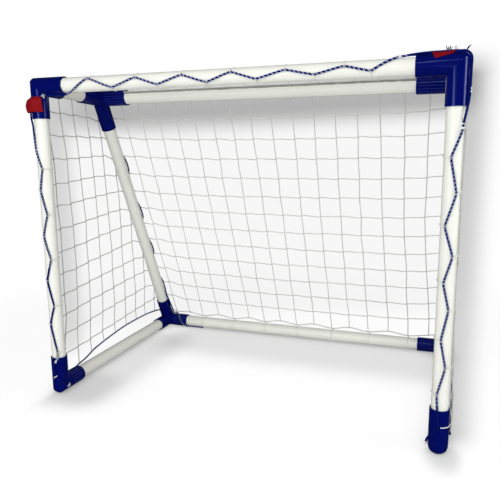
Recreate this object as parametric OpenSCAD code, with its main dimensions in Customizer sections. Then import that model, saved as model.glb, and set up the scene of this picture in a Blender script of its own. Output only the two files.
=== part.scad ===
// Small hockey goal: a push-together frame of plastic tubes in moulded corner fittings, a knotted
// net hung round its outside, and the cords that lace the net to the tubes.
// Millimetres. X runs across the mouth, the mouth faces -Y and Z is up. The origin is on the floor
// under the middle of the base. Tubes and fittings are placed by the axes of the tubes.

/* [Goal] */
// Width of the mouth, between the axes of the posts
goal_w = 875; // [620:5:1400]
// Height of the mouth, from the base bars' axes to the crossbar's axis
goal_h = 700; // [480:5:1000]
// Depth of the roof, from the crossbar's axis to the top back bar's axis
roof_depth = 230; // [190:5:320]
// Depth of the base, from the posts' axes to the back base bar's axis
base_depth = 560; // [420:5:760]
// How much lower than the crossbar the top back bar sits
roof_drop = 10; // [0:1:40]

/* [Tubes] */
// Outside diameter of every frame tube
tube_d = 32; // [26:1:40]
// Wall of the tubes
tube_wall = 2; // [1.5:0.1:3]

/* [Corner fittings] */
// Wall of the sockets
fitting_wall = 2.9; // [2:0.1:4]
// Play between a tube and its socket, on the radius
socket_play = 0.1; // [0.05:0.05:0.3]
// Length of the three arms of a top front corner, from the crossing of the axes
mouth_arm = 70; // [55:1:90]
// Length of the three arms of a top back corner
peak_arm = 83; // [60:1:95]
// Length of the two level arms of a base back corner
heel_arm = 73; // [60:1:95]
// Length of the sloping arm of a base back corner
heel_strut_arm = 84; // [65:1:110]
// Length of the two arms of a base front elbow
foot_arm = 72; // [55:1:95]
// Radius of a fitting's rounded outside corner, as a multiple of the arms' radius
corner_round = 1.14; // [1.05:0.01:1.3]
// Solid shoulder between the crossing of two sockets and the tubes' ends
stop_land = 4; // [2:0.5:8]
// Depth of the flat that each base fitting stands on
floor_flat = 0.5; // [0.3:0.1:1.5]

/* [Net] */
// Thickness of the net's thread
thread_d = 2; // [1.5:0.1:3]
// Width of a mesh
mesh_w = 55; // [40:1:80]
// Height of a mesh along the posts
post_row = 54; // [40:1:80]
// Height of a mesh down the sloping back, where the net is pulled tighter
back_row = 56; // [40:1:80]
// Play between the net and the fittings that it lies on
net_play = 0.3; // [0.2:0.1:1]

/* [Cords and tabs] */
// Thickness of the lacing cord
cord_d = 4.6; // [3:0.1:6]
// Play between a cord and the tube that it lies on
cord_play = 0.5; // [0.3:0.1:0.9]
// Length of the turns of white twine that tie the cords down
twine_w = 5; // [3:0.5:8]
// Thickness of those turns
twine_t = 1.2; // [0.8:0.1:2]
// Height of the red tab on the left corner, and width of the one on the right
tab_w = 35; // [20:1:45]
// Thickness of the tabs' folded ribbon
tab_t = 1.5; // [1:0.1:3]
// How far the left tab's slack stands out beyond the cord under it
tab_slack = 6; // [2:0.5:9]

/* [Hidden] */
TUBES = ["crossbar", "left_post", "right_post", "top_back_bar", "left_top_side_bar",
    "right_top_side_bar", "left_strut", "right_strut", "left_base_bar", "right_base_bar",
    "back_base_bar"];
FITTINGS = ["left_top_front_corner", "right_top_front_corner", "left_top_back_corner",
    "right_top_back_corner", "left_base_back_corner", "right_base_back_corner",
    "left_base_elbow", "right_base_elbow"];
NETS = ["roof_net", "back_net", "left_side_net", "right_side_net"];
LOOPS = ["crossbar_net_loops", "left_post_net_loops", "right_post_net_loops",
    "back_bar_net_rings"];
CORDS = ["crossbar_lacing", "left_post_lacing", "right_post_lacing", "left_strut_lacing",
    "right_strut_lacing", "left_hem_cord", "right_hem_cord"];
TRIM = ["twine_turns", "left_red_tab", "right_red_tab"];

LEFT = -1;
RIGHT = 1;
UP = [0, 0, 1];
BACK = [0, 1, 0];
CUT = 1; // how far a cutting shape runs past the face that it cuts
ROUND = 64; // sides of a drawn circle

// Tubes, fittings and the crossings of their axes
tube_r = tube_d / 2;
socket_r = tube_r + socket_play;
fitting_r = socket_r + fitting_wall;
base_z = fitting_r - floor_flat;
top_z = base_z + goal_h;
front_y = -base_depth / 2;
heel_y = base_depth / 2;
peak_y = front_y + roof_depth;
peak_z = top_z - roof_drop;
function mouth_point(side) = [side * goal_w / 2, front_y, top_z];
function peak_point(side) = [side * goal_w / 2, peak_y, peak_z];
function heel_point(side) = [side * goal_w / 2, heel_y, base_z];
function foot_point(side) = [side * goal_w / 2, front_y, base_z];
function inward(side) = [-side, 0, 0];

roof_run = [0, roof_depth, -roof_drop]; // crossbar to top back bar
back_run = heel_point(LEFT) - peak_point(LEFT); // top back bar to back base bar
roof_slope = atan2(roof_drop, roof_depth);
back_slope = atan2(-back_run.z, back_run.y);

// Where the tubes stop inside a fitting: beyond the crossing of its two closest sockets
function bend(u, v) = acos(u * v / (norm(u) * norm(v)));
function tube_stop(angle) = fitting_r / tan(angle / 2) + stop_land;
mouth_stop = tube_stop(bend(roof_run, -UP));
peak_stop = tube_stop(90);
heel_stop = tube_stop(bend(-BACK, -back_run));
foot_stop = tube_stop(90);
passage_r = tube_r - tube_wall;

// Cords lie on the tubes, or on the fittings
cord_r = cord_d / 2;
on_tube = tube_r + cord_play + cord_r;
on_fitting = fitting_r + cord_play + cord_r;
over_tab = fitting_r + net_play + tab_t + cord_play + cord_r;

// The net lies outside the fittings, and outside the cords on the struts
net_in = max(fitting_r, on_tube + cord_r) + net_play; // its inner face, from the tubes' axes
net_mid = net_in + thread_d / 2;
net_front = on_fitting - fitting_r + thread_d + net_play; // its front edge, behind the cords
side_reach = net_in - net_play; // how far a panel runs past the axes to meet its neighbour
ridge_reach = net_in * tan((back_slope - roof_slope) / 2) - net_play;

CORD_SIDES = 8;
MAX_TURN = 23; // degrees that a cord turns round its tube between two rings
loop_r = tube_r + thread_d / 2 + 0.1; // centre line of a thread loop round a tube
loop_start = (cord_d + thread_d + 0.6) / 2 / loop_r * 180 / PI; // clear of the cord it holds

// Routes of the cords. On a bar or post a point is [place along it in percent, angle round it,
// distance from its axis]. Angles start at the front of the mouth; they run up over a bar, and
// outwards round a post. A post's places count up from the base bars' axes.
CROSSBAR_ZIGZAG = [[15.7, 35], [22.4, -36], [28.9, 22], [34.6, -31], [40.9, 21], [47, -32],
    [52.9, 22], [58.8, -28], [65.3, 16], [71.7, -20], [77.9, 19], [83.4, -16]];
CROSSBAR_START = [[2.4, -70, on_fitting], [8.3, -70, on_fitting], [9.4, -72, on_tube]];
CROSSBAR_END = [[89.5, 76, on_tube], [92.4, 84, on_fitting], [94.8, 86, over_tab],
    [99.2, 88, over_tab]];
OVER_CORNER = [[2, 23], [13, 22], [21, 14]]; // [beyond the post's axis, above the crossbar's]
DOWN_CORNER = [[99, 89, on_fitting], [94.1, 89, on_fitting], [92.2, 76, on_fitting],
    [90, 62, on_fitting], [88.2, 55, on_fitting - 1], [86, 48, on_tube]];
LEFT_POST_ZIGZAG = [[80.3, 23], [74.3, -20], [67.3, 6], [59.4, -31], [52.4, 9], [44.6, -33],
    [37.5, 7], [28.7, -31], [22.4, 7], [12.6, -30]];
LEFT_POST_START = [[95.8, -62, on_fitting], [95, 0, on_fitting], [93, 50, on_fitting],
    [89.8, 54, on_fitting], [88, 48, on_tube]];
LEFT_POST_END = [[10.6, -10, on_fitting], [7.2, 5, on_fitting], [4, -8, on_fitting],
    [2, -40, on_fitting], [0.6, -70, on_fitting], [-1, -106, on_fitting]];
RIGHT_POST_ZIGZAG = [[77.7, -12], [68.7, 28], [60.4, -26], [52.6, 25], [45.6, -18],
    [38.4, 19], [30.1, -15], [22.6, 19], [14.9, -21]];
RIGHT_POST_START = [[84.2, 43, on_tube]];
RIGHT_POST_END = [[10.6, -12, on_fitting], [5.7, -3, on_fitting], [4.6, -12, on_fitting],
    [3, -45, on_fitting], [1, -72, on_fitting], [-1, -104, on_fitting]];
// Down a strut: [percent of its length, angle from straight behind it towards the inside]
STRUT_ZIGZAG = [[12, 20], [18, -50], [26, 62], [36, -50], [46.5, 62], [55, -50], [63, 62],
    [73, -50], [83, 66], [86.6, 82]];
// Along a base bar: [percent of its length, height above its axis, distance outside it]
HEM_START = [[8, -3, on_fitting], [13, 2, on_fitting - 0.5]];
HEM_ARCH = [[18, 9], [24, 15], [31, 26], [44, 36], [58, 43], [73, 44], [84, 42], [94, 36]];
HEM_END = [[97, 32, on_fitting]];
// Round the back of a strut's foot, and on the left over the inward arm and along the back bar
STRUT_END = [[88.4, 86, on_fitting], [91, 80, on_fitting], [94, 66, on_fitting + 0.5], [96.5, 47, on_fitting + 0.5],
    [98.8, 28, on_fitting + 1.8]];
TAIL = [[3.4, 102, on_fitting + 1], [4.6, 75, on_fitting + 0.5], [5.6, 45, on_fitting + 0.5],
    [6.4, 15, on_fitting + 0.5], [7, -15, on_fitting + 0.5], [8.5, -42, on_fitting],
    [9.8, -58, on_tube], [15, -58, on_tube]];

function across(percent) = (percent / 100 - 0.5) * goal_w;
function by_crossbar(p) = [across(p[0]), front_y - p[2] * cos(p[1]), top_z + p[2] * sin(p[1])];
function by_post(side, p) = [side * (goal_w / 2 + p[2] * sin(p[1])),
    front_y - p[2] * cos(p[1]), base_z + p[0] / 100 * goal_h];
function by_back_bar(p) = [across(p[0]), heel_y - p[2] * cos(p[1]), base_z + p[2] * sin(p[1])];
strut_behind = [0, sin(back_slope), cos(back_slope)]; // square to a strut, away from the goal
function by_strut(side, p) = peak_point(side) + p[0] / 100 * back_run
    + p[2] * (cos(p[1]) * strut_behind + sin(p[1]) * inward(side));
function by_base_bar(side, p) = [side * (goal_w / 2 + p[2]),
    front_y + p[0] / 100 * base_depth, base_z + p[1]];
function at_radius(list, r) = [for (p = list) [p[0], p[1], r]];
// Points between the listed ones, so that a cord bends round the tube under it
function legs(a, b) = max(1, ceil(abs(b[1] - a[1]) / MAX_TURN));
function finer(list) = [for (i = [0 : len(list) - 2]) let (a = list[i], b = list[i + 1])
    for (s = [0 : legs(a, b) - 1]) a + (b - a) * s / legs(a, b), list[len(list) - 1]];

crossbar_route = concat(
    [for (p = finer(concat(CROSSBAR_START, at_radius(CROSSBAR_ZIGZAG, on_tube), CROSSBAR_END)))
        by_crossbar(p)],
    [for (p = OVER_CORNER) mouth_point(RIGHT) + [p[0], 0, p[1]]],
    [for (p = DOWN_CORNER) by_post(RIGHT, p)]);
left_post_route = [for (p = finer(concat(LEFT_POST_START, at_radius(LEFT_POST_ZIGZAG, on_tube),
    LEFT_POST_END))) by_post(LEFT, p)];
right_post_route = [for (p = finer(concat(RIGHT_POST_START,
    at_radius(RIGHT_POST_ZIGZAG, on_tube), RIGHT_POST_END))) by_post(RIGHT, p)];
function strut_route(side) =
    [for (p = finer(concat(at_radius(STRUT_ZIGZAG, on_tube), STRUT_END))) by_strut(side, p)];
left_strut_route = concat(strut_route(LEFT), [for (p = TAIL) by_back_bar(p)]);
right_strut_route = strut_route(RIGHT);
hem_route = concat(HEM_START, [for (p = HEM_ARCH) [p[0], p[1], net_mid]], HEM_END);

// Turn +Z to point along v
module aim(v) {
    rotate([0, acos(v.z / norm(v)), atan2(v.y, v.x)]) children();
}

module tube_between(a, b, stop_a, stop_b) {
    length = norm(b - a) - stop_a - stop_b;
    color("ivory") translate(a) aim(b - a) translate([0, 0, stop_a]) difference() {
        cylinder(h = length, r = tube_r, $fn = ROUND);
        translate([0, 0, -CUT]) cylinder(h = length + 2 * CUT, r = passage_r, $fn = ROUND);
    }
}

// A moulded corner: arms is a list of [direction, length], stop is where the tubes end in it.
// The first two arms meet in a mitre with a rounded outside corner.
module fitting(centre, arms, stop) {
    color("navy") translate(centre) difference() {
        union() {
            for (arm = arms) aim(arm[0]) cylinder(h = arm[1], r = fitting_r, $fn = ROUND);
            intersection() {
                aim(arms[0][0]) cylinder(h = 4 * fitting_r, r = fitting_r, center = true, $fn = ROUND);
                aim(arms[1][0]) cylinder(h = 4 * fitting_r, r = fitting_r, center = true, $fn = ROUND);
                sphere(r = fitting_r * corner_round, $fn = ROUND);
            }
        }
        for (arm = arms) aim(arm[0]) {
            translate([0, 0, stop]) cylinder(h = arm[1], r = socket_r, $fn = ROUND);
            cylinder(h = arm[1], r = passage_r, $fn = ROUND);
        }
        sphere(r = passage_r + CUT / 2, $fn = ROUND);
    }
}

// A base fitting is cut flat where it stands on the floor
module standing() {
    reach = 3 * heel_strut_arm;
    difference() {
        children();
        translate([-goal_w, -base_depth, -reach]) cube([2 * goal_w, 2 * base_depth, reach]);
    }
}

module top_front_corner(side) {
    fitting(mouth_point(side),
        [[inward(side), mouth_arm], [-UP, mouth_arm], [roof_run, mouth_arm]], mouth_stop);
}

module top_back_corner(side) {
    fitting(peak_point(side),
        [[inward(side), peak_arm], [back_run, peak_arm], [-roof_run, peak_arm]], peak_stop);
}

// The left one is the right one's mirror image
module base_back_corner(side) {
    mirror([side == LEFT ? 1 : 0, 0, 0]) standing() fitting(heel_point(RIGHT),
        [[inward(RIGHT), heel_arm], [-BACK, heel_arm], [-back_run, heel_strut_arm]], heel_stop);
}

module base_elbow(side) {
    standing() fitting(foot_point(side), [[UP, foot_arm], [BACK, foot_arm]], foot_stop);
}

// One straight thread of a flat net, from p to q
module thread(p, q) {
    run = q - p;
    translate(p) rotate(atan2(run.y, run.x)) translate([-thread_d / 2, -thread_d / 2])
        square([norm(run) + thread_d, thread_d]);
}

// A flat net w wide and from 0 down to -h, with rows at the listed depths
module square_net(w, h, rows) {
    columns = round(w / mesh_w);
    for (i = [0 : columns]) {
        x = (i / columns - 0.5) * (w - thread_d);
        thread([x, -thread_d / 2], [x, thread_d / 2 - h]);
    }
    for (depth = concat([thread_d / 2], rows, [h - thread_d / 2]))
        thread([(thread_d - w) / 2, -depth], [(w - thread_d) / 2, -depth]);
}

// Stand a flat net up on the frame: its top edge on the axis through point, sloping down along run
module hang(point, run, reach) {
    color("whitesmoke") translate(point) rotate([atan2(run.z, run.y), 0, 0])
        translate([0, -reach, net_in]) rotate([0, 0, 180]) linear_extrude(thread_d) children();
}

module roof_net() {
    length = norm(roof_run) + ridge_reach - net_front;
    rows = round(length / mesh_w);
    hang([0, front_y, top_z], roof_run, -net_front)
        square_net(goal_w + 2 * side_reach, length, [for (i = [1 : rows - 1]) i * length / rows]);
}

module back_net() {
    length = norm(back_run);
    rows = floor(length / back_row);
    hang([0, peak_y, peak_z], back_run, ridge_reach)
        square_net(goal_w + 2 * side_reach, length + ridge_reach,
            [for (i = [1 : rows]) i * back_row + ridge_reach]);
}

// Outline of a side net in [distance behind the post, height above the base bar]
roof_end = [roof_depth, goal_h - roof_drop];
heel_end = [base_depth, 0];
side_up = side_reach * [sin(roof_slope), cos(roof_slope)];
side_out = side_reach * [strut_behind.y, strut_behind.z];
side_crown = roof_end + side_reach / cos((back_slope - roof_slope) / 2)
    * [sin((back_slope + roof_slope) / 2), cos((back_slope + roof_slope) / 2)];
function hem_height(y) = lookup(y / base_depth * 100, HEM_ARCH) + cord_r + net_play;
function side_top(y) = y < side_crown.x
    ? goal_h + side_up.y - (y - side_up.x) * tan(roof_slope)
    : side_crown.y - (y - side_crown.x) * tan(back_slope);
hem_high = HEM_ARCH[len(HEM_ARCH) - 1][0] / 100 * base_depth;

module side_net_outline() {
    inset = thread_d / 2;
    columns = floor(hem_high / mesh_w);
    for (i = [1 : columns]) {
        y = i * mesh_w;
        thread([y, hem_height(y) + inset], [y, side_top(y) - inset]);
    }
    rows = floor((goal_h - hem_height(0)) / post_row);
    for (i = [1 : rows]) {
        strut_end = roof_end + i * back_row * [cos(back_slope), -sin(back_slope)];
        thread([net_front, goal_h - i * post_row], strut_end + side_out);
    }
    thread([net_front, hem_height(0)], [net_front, side_top(0) - inset]);
    thread([net_front, side_top(0) - inset], side_crown - [0, inset]);
    thread(side_crown - [0, inset], [hem_high, side_top(hem_high) - inset]);
}

module side_net(side) {
    inner = side < 0 ? -goal_w / 2 - net_in - thread_d : goal_w / 2 + net_in;
    color("whitesmoke") translate([inner, front_y, base_z])
        rotate([90, 0, 90]) linear_extrude(thread_d) side_net_outline();
}

// Thread round a tube's axis, which is turned to +Z, from one angle to another
module loop(from, to) {
    rotate([0, 0, min(from, to)]) rotate_extrude(angle = abs(to - from), $fn = ROUND)
        translate([loop_r, 0]) circle(d = thread_d, $fn = ROUND);
}

UNDER = -165; // a loop from below ends behind the bar
OVER = 88; // a loop from above ends on top of it
module crossbar_net_loops() {
    color("whitesmoke") for (p = CROSSBAR_ZIGZAG)
        translate([across(p[0]), front_y, top_z]) rotate([0, -90, 0]) rotate([0, 0, -90])
            loop(p[1] + sign(p[1]) * loop_start, p[1] > 0 ? OVER : UNDER);
}

INSIDE = -140; // a loop round the inside of a post ends behind it
OUTSIDE = 95; // a loop round the outside ends beside it
module post_net_loops(side, zigzag) {
    color("whitesmoke") for (p = zigzag)
        translate([side * goal_w / 2, front_y, base_z + p[0] / 100 * goal_h])
            mirror([side < 0 ? 1 : 0, 0, 0]) rotate([0, 0, -90])
                loop(p[1] + (p[1] < 0 ? -1 : 1) * loop_start, p[1] < 0 ? INSIDE : OUTSIDE);
}

RING_COLUMNS = 2; // every second column of the back net is tied round the bar
RING_TOP = 100;
RING_UNDER = -120;
module back_bar_net_rings() {
    columns = round((goal_w + 2 * side_reach) / mesh_w);
    pitch = (goal_w + 2 * side_reach - thread_d) / columns;
    color("whitesmoke") for (i = [3 : RING_COLUMNS : columns - 2])
        translate([(i - columns / 2) * pitch, heel_y, base_z])
            rotate([0, -90, 0]) rotate([0, 0, -90]) loop(RING_TOP, RING_UNDER);
}

// Sweep a round cord through its points. flat is a direction that it never runs along.
function heading(route, i) = let (last = len(route) - 1)
    route[min(i + 1, last)] - route[max(i - 1, 0)];
module cord(route, flat) {
    last = len(route) - 1;
    rings = [for (i = [0 : last])
        let (v = heading(route, i), a = cross(v, flat) / norm(cross(v, flat)),
            b = cross(v, a) / norm(v))
            for (s = [0 : CORD_SIDES - 1])
                route[i] + cord_r * (cos(s * 360 / CORD_SIDES) * a
                    + sin(s * 360 / CORD_SIDES) * b)];
    walls = [for (i = [0 : last - 1], s = [0 : CORD_SIDES - 1])
        let (next = (s + 1) % CORD_SIDES, low = i * CORD_SIDES, high = low + CORD_SIDES)
            each [[low + s, high + s, low + next], [low + next, high + s, high + next]]];
    start = [for (s = [0 : CORD_SIDES - 1]) s];
    end = [for (s = [CORD_SIDES - 1 : -1 : 0]) last * CORD_SIDES + s];
    color("darkblue") polyhedron(rings, concat([start], walls, [end]));
}

module hem_cord(side) {
    cord([for (p = hem_route) by_base_bar(side, p)], [1, 0, 0]);
}

STRING_FROM = 14; // angles round the right foot, from the front to the outer side
STRING_TO = 96;
// Turns of twine round a cord, open where the cord lies on the tube or fitting round the axis
TWINE_WRAP = 240;
module twine_turn(route, i, centre, axis) {
    z = heading(route, i) / norm(heading(route, i));
    from_axis = cross(cross(axis, route[i] - centre), axis);
    y = cross(z, from_axis) / norm(cross(z, from_axis));
    x = cross(y, z);
    p = route[i];
    multmatrix([[x.x, y.x, z.x, p.x], [x.y, y.y, z.y, p.y], [x.z, y.z, z.z, p.z], [0, 0, 0, 1]])
        rotate([0, 0, -TWINE_WRAP / 2]) rotate_extrude(angle = TWINE_WRAP, $fn = ROUND)
            translate([cord_r + net_play, -twine_w / 2]) square([twine_t, twine_w]);
}

module twine_turns() {
    color("white") {
        twine_turn(crossbar_route, 0, mouth_point(LEFT), inward(LEFT));
        twine_turn(crossbar_route, len(crossbar_route) - 5, mouth_point(RIGHT), UP);
        twine_turn(left_post_route, len(left_post_route) - 4, foot_point(LEFT), UP);
        twine_turn(left_post_route, len(left_post_route) - 1, foot_point(LEFT), UP);
        twine_turn(right_post_route, len(right_post_route) - 5, foot_point(RIGHT), UP);
        twine_turn(right_post_route, len(right_post_route) - 1, foot_point(RIGHT), UP);
        twine_turn(left_strut_route, len(left_strut_route) - len(TAIL) - 2, heel_point(LEFT),
            back_run);
        twine_turn(right_strut_route, len(right_strut_route) - 1, heel_point(RIGHT), back_run);
        // A length of twine round the outside of the right foot
        translate(foot_point(RIGHT) + [0, 0, RIGHT_POST_END[1][0] / 100 * goal_h])
            rotate([0, 0, STRING_FROM - 90])
                rotate_extrude(angle = STRING_TO - STRING_FROM, $fn = ROUND)
                    translate([fitting_r + net_play + thread_d / 2, 0])
                        circle(d = thread_d, $fn = ROUND);
    }
}

// The left tab is a ribbon round the corner's upright arm, over the cord, with slack outside
TAB_TOP = 22; // below the crossbar's axis
TAB_FROM = -46; // angles from the front, from the inner side round to the outer side
TAB_TO = 110;
TAB_BULGE = 58; // where its slack is greatest
TAB_STEP = 6;
module left_red_tab() {
    inner = on_fitting + cord_r + net_play;
    function slack(a) = tab_slack * pow(max(0, cos(a - TAB_BULGE)), 2);
    function wall(a, r) = (r + slack(a)) * [-sin(a), -cos(a)];
    angles = [TAB_FROM : TAB_STEP : TAB_TO];
    outer_wall = [for (a = angles) wall(a, inner + tab_t)];
    inner_wall = [for (a = angles) wall(TAB_FROM + TAB_TO - a, inner)];
    color("firebrick") translate(mouth_point(LEFT) - [0, 0, TAB_TOP + tab_w])
        linear_extrude(tab_w) polygon(concat(outer_wall, inner_wall));
}

// The right tab lies over the corner's level arm, under the cord, with a slanted front edge
TAB_START = 7; // inward of the post's axis
TAB_TIP = 11; // height of its pointed end above the arm's axis
TAB_SLANT = 14; // rise of its front edge towards the post, in degrees
TAB_FRONT = 28; // angles round the arm
TAB_BACK = 100;
module right_red_tab() {
    color("firebrick") translate(mouth_point(RIGHT) - [TAB_START, 0, 0]) difference() {
        rotate([0, -90, 0]) rotate([0, 0, TAB_FRONT - 90])
            rotate_extrude(angle = TAB_BACK - TAB_FRONT, $fn = ROUND)
                translate([fitting_r + net_play, 0]) square([tab_t, tab_w]);
        translate([-tab_w, -2 * fitting_r, TAB_TIP]) rotate([0, -TAB_SLANT, 0])
            translate([-tab_w, 0, -fitting_r]) cube([3 * tab_w, 2 * fitting_r, fitting_r]);
    }
}

tube_between(mouth_point(LEFT), mouth_point(RIGHT), mouth_stop, mouth_stop);  // crossbar
tube_between(foot_point(LEFT), mouth_point(LEFT), foot_stop, mouth_stop);  // left_post
tube_between(foot_point(RIGHT), mouth_point(RIGHT), foot_stop, mouth_stop);  // right_post
tube_between(peak_point(LEFT), peak_point(RIGHT), peak_stop, peak_stop);  // top_back_bar
tube_between(mouth_point(LEFT), peak_point(LEFT), mouth_stop, peak_stop);  // left_top_side_bar
tube_between(mouth_point(RIGHT), peak_point(RIGHT), mouth_stop, peak_stop);  // right_top_side_bar
tube_between(peak_point(LEFT), heel_point(LEFT), peak_stop, heel_stop);  // left_strut
tube_between(peak_point(RIGHT), heel_point(RIGHT), peak_stop, heel_stop);  // right_strut
tube_between(foot_point(LEFT), heel_point(LEFT), foot_stop, heel_stop);  // left_base_bar
tube_between(foot_point(RIGHT), heel_point(RIGHT), foot_stop, heel_stop);  // right_base_bar
tube_between(heel_point(LEFT), heel_point(RIGHT), heel_stop, heel_stop);  // back_base_bar
top_front_corner(LEFT);  // left_top_front_corner
top_front_corner(RIGHT);  // right_top_front_corner
top_back_corner(LEFT);  // left_top_back_corner
top_back_corner(RIGHT);  // right_top_back_corner
base_back_corner(LEFT);  // left_base_back_corner
base_back_corner(RIGHT);  // right_base_back_corner
base_elbow(LEFT);  // left_base_elbow
base_elbow(RIGHT);  // right_base_elbow
roof_net();
back_net();
side_net(LEFT);  // left_side_net
side_net(RIGHT);  // right_side_net
crossbar_net_loops();
post_net_loops(LEFT, LEFT_POST_ZIGZAG);  // left_post_net_loops
post_net_loops(RIGHT, RIGHT_POST_ZIGZAG);  // right_post_net_loops
back_bar_net_rings();
cord(crossbar_route, BACK);  // crossbar_lacing
cord(left_post_route, BACK);  // left_post_lacing
cord(right_post_route, BACK);  // right_post_lacing
cord(left_strut_route, strut_behind);  // left_strut_lacing
cord(right_strut_route, strut_behind);  // right_strut_lacing
hem_cord(LEFT);  // left_hem_cord
hem_cord(RIGHT);  // right_hem_cord
twine_turns();
left_red_tab();
right_red_tab();
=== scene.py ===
"""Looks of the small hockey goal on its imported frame: tubes, moulded corners, net, cords, ties and tabs.

As an add-on it has a panel in the 3D view's sidebar. Run as a script, it builds every piece in order.
Lengths are in metres in the part's own frame: X across the mouth, Y from the mouth to the back, Z up.
"""

import math
import random

import bmesh
import bpy
from mathutils import Matrix, Vector


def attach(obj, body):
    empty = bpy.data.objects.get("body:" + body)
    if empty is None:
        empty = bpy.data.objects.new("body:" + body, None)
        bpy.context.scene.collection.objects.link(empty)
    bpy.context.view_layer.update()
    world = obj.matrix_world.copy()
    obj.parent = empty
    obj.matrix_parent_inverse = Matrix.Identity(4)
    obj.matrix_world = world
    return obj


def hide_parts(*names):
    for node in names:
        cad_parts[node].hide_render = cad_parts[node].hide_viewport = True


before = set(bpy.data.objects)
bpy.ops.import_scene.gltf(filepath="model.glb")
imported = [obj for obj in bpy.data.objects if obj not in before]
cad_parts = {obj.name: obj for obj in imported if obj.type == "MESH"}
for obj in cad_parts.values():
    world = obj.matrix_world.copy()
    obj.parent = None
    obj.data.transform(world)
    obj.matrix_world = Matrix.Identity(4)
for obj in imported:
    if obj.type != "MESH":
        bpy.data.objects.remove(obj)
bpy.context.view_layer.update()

bl_info = {
    "name": "Hockey Goal",
    "version": (1, 0, 0),
    "blender": (4, 5, 0),
    "location": "View3D > Sidebar > Goal",
    "description": "Builds a small hockey goal with a corded net on its packed frame",
    "category": "Add Mesh",
}

LEFT = -1
RIGHT = 1
GOAL_HEIGHT = 0.7  # from the base bars' axes to the crossbar's
BASE_DEPTH = 0.56
FRONT = -0.28  # the mouth's plane
BASE_Z = 0.0185  # axes of the base bars
TOP_Z = 0.7185  # axis of the crossbar
RIDGE = Vector((0, -0.05, 0.7085))  # axis of the top back bar
HEEL = Vector((0, 0.28, 0.0185))  # axis of the back base bar
BACK_RUN = HEEL - RIDGE
ALONG_BACK = BACK_RUN.normalized()
OFF_BACK = Vector((0, -ALONG_BACK.z, ALONG_BACK.y))  # straight out behind the struts
ROOF_RUN = RIDGE - Vector((0, FRONT, TOP_Z))
ALONG_ROOF = ROOF_RUN.normalized()
OFF_ROOF = Vector((0, -ALONG_ROOF.z, ALONG_ROOF.y))
ROOF_SLOPE = 0.0435  # how much the roof falls in its length

# Distances from a tube's axis
LOOP_RADIUS = 0.0171  # a thread that lies round a tube
ON_TUBE = 0.0188  # the middle of a cord that lies on a tube
ON_FITTING = 0.0218  # and on a fitting
UNDER_CORD = 0.0213  # a cord that lies on a fitting under another
OVER_TAB = 0.0236  # a cord that lies over the ribbon on a fitting
NET_MID = 0.0224  # the middle of the net's threads

# Routes of the cords: [percent along the tube, degrees round it, distance from its axis].
# Degrees start at the front of the mouth; they run up over a bar, and outwards round a post.
# A zigzag has no distance, because all of it lies on the tube.
CROSSBAR_START = [[2.0, -66, ON_FITTING], [8.3, -70, ON_FITTING], [9.4, -72, ON_TUBE]]
CROSSBAR_ZIGZAG = [
    [15.7, 35], [22.4, -36], [28.9, 22], [34.6, -31], [40.9, 21], [47, -32],
    [52.9, 22], [58.8, -28], [65.3, 16], [71.7, -20], [77.9, 19], [83.4, -16],
]
CROSSBAR_END = [[89.5, 76, ON_TUBE], [92.4, 88, ON_FITTING], [94.8, 97, OVER_TAB], [99.2, 93, OVER_TAB]]
# Over the right corner: [beyond the post's axis, above the crossbar's]
OVER_CORNER = [[0.002, 0.023], [0.013, 0.022], [0.021, 0.014]]
DOWN_CORNER = [
    [99, 89, ON_FITTING], [94.1, 89, ON_FITTING], [92.2, 76, ON_FITTING], [90, 62, ON_FITTING],
    [88.2, 55, 0.0208], [86, 48, ON_TUBE],
]
# The second turn over that corner, under the first
DOUBLED_OVER = [[91.0, 92, 0.0205], [93, 103, UNDER_CORD], [98.4, 98, UNDER_CORD]]
DOUBLED_BEND = (0.35, 0.8, 1.25)  # radians from straight up
DOUBLED_LEAN = -0.1  # how far it leans to the front there
DOUBLED_DOWN = [[98.0, 84, UNDER_CORD], [91, 66, UNDER_CORD]]
LEFT_POST_START = [
    [95.8, -62, ON_FITTING], [95, 0, ON_FITTING], [93, 43, ON_FITTING], [89.8, 45, 0.0213],
    [88, 43, ON_TUBE],
]
LEFT_POST_ZIGZAG = [
    [80.3, 23], [74.3, -20], [67.3, 6], [59.4, -31], [52.4, 9],
    [44.6, -33], [37.5, 7], [28.7, -31], [22.4, 7], [12.6, -30],
]
LEFT_POST_END = [
    [10.8, -29, ON_FITTING], [9.2, -12, ON_FITTING], [7.2, 2, ON_FITTING], [4, -8, ON_FITTING],
    [2, -40, ON_FITTING], [0.6, -70, ON_FITTING], [-1, -106, ON_FITTING],
]
RIGHT_POST_START = [[85.6, 47, ON_TUBE], [84.2, 43, ON_TUBE]]
RIGHT_POST_ZIGZAG = [
    [77.7, -12], [68.7, 28], [60.4, -26], [52.6, 25], [45.6, -18],
    [38.4, 19], [30.1, -15], [22.6, 19], [14.9, -21],
]
RIGHT_POST_END = [
    [10.6, -12, ON_FITTING], [5.7, -3, ON_FITTING], [4.6, -12, ON_FITTING], [3, -45, ON_FITTING],
    [1, -72, ON_FITTING], [-1, -104, ON_FITTING],
]
STRUT_ZIGZAG = [
    [12, 20], [18, -50], [26, 62], [36, -50], [46.5, 62],
    [55, -50], [63, 62], [73, -50], [83, 66], [86.6, 82],
]
STRUT_END = [
    [88.4, 86, ON_FITTING], [91, 80, ON_FITTING], [94, 66, 0.0223], [96.5, 47, 0.0223], [98.8, 28, 0.0236],
]
# The left strut's cord goes on round the back base bar
TAIL = [
    [3.4, 102, 0.0228], [4.6, 75, 0.0223], [5.6, 45, 0.0223], [6.4, 15, 0.0223], [7, -15, 0.0223],
    [8.5, -42, ON_FITTING], [9.8, -58, ON_TUBE], [15, -58, ON_TUBE],
]
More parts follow.
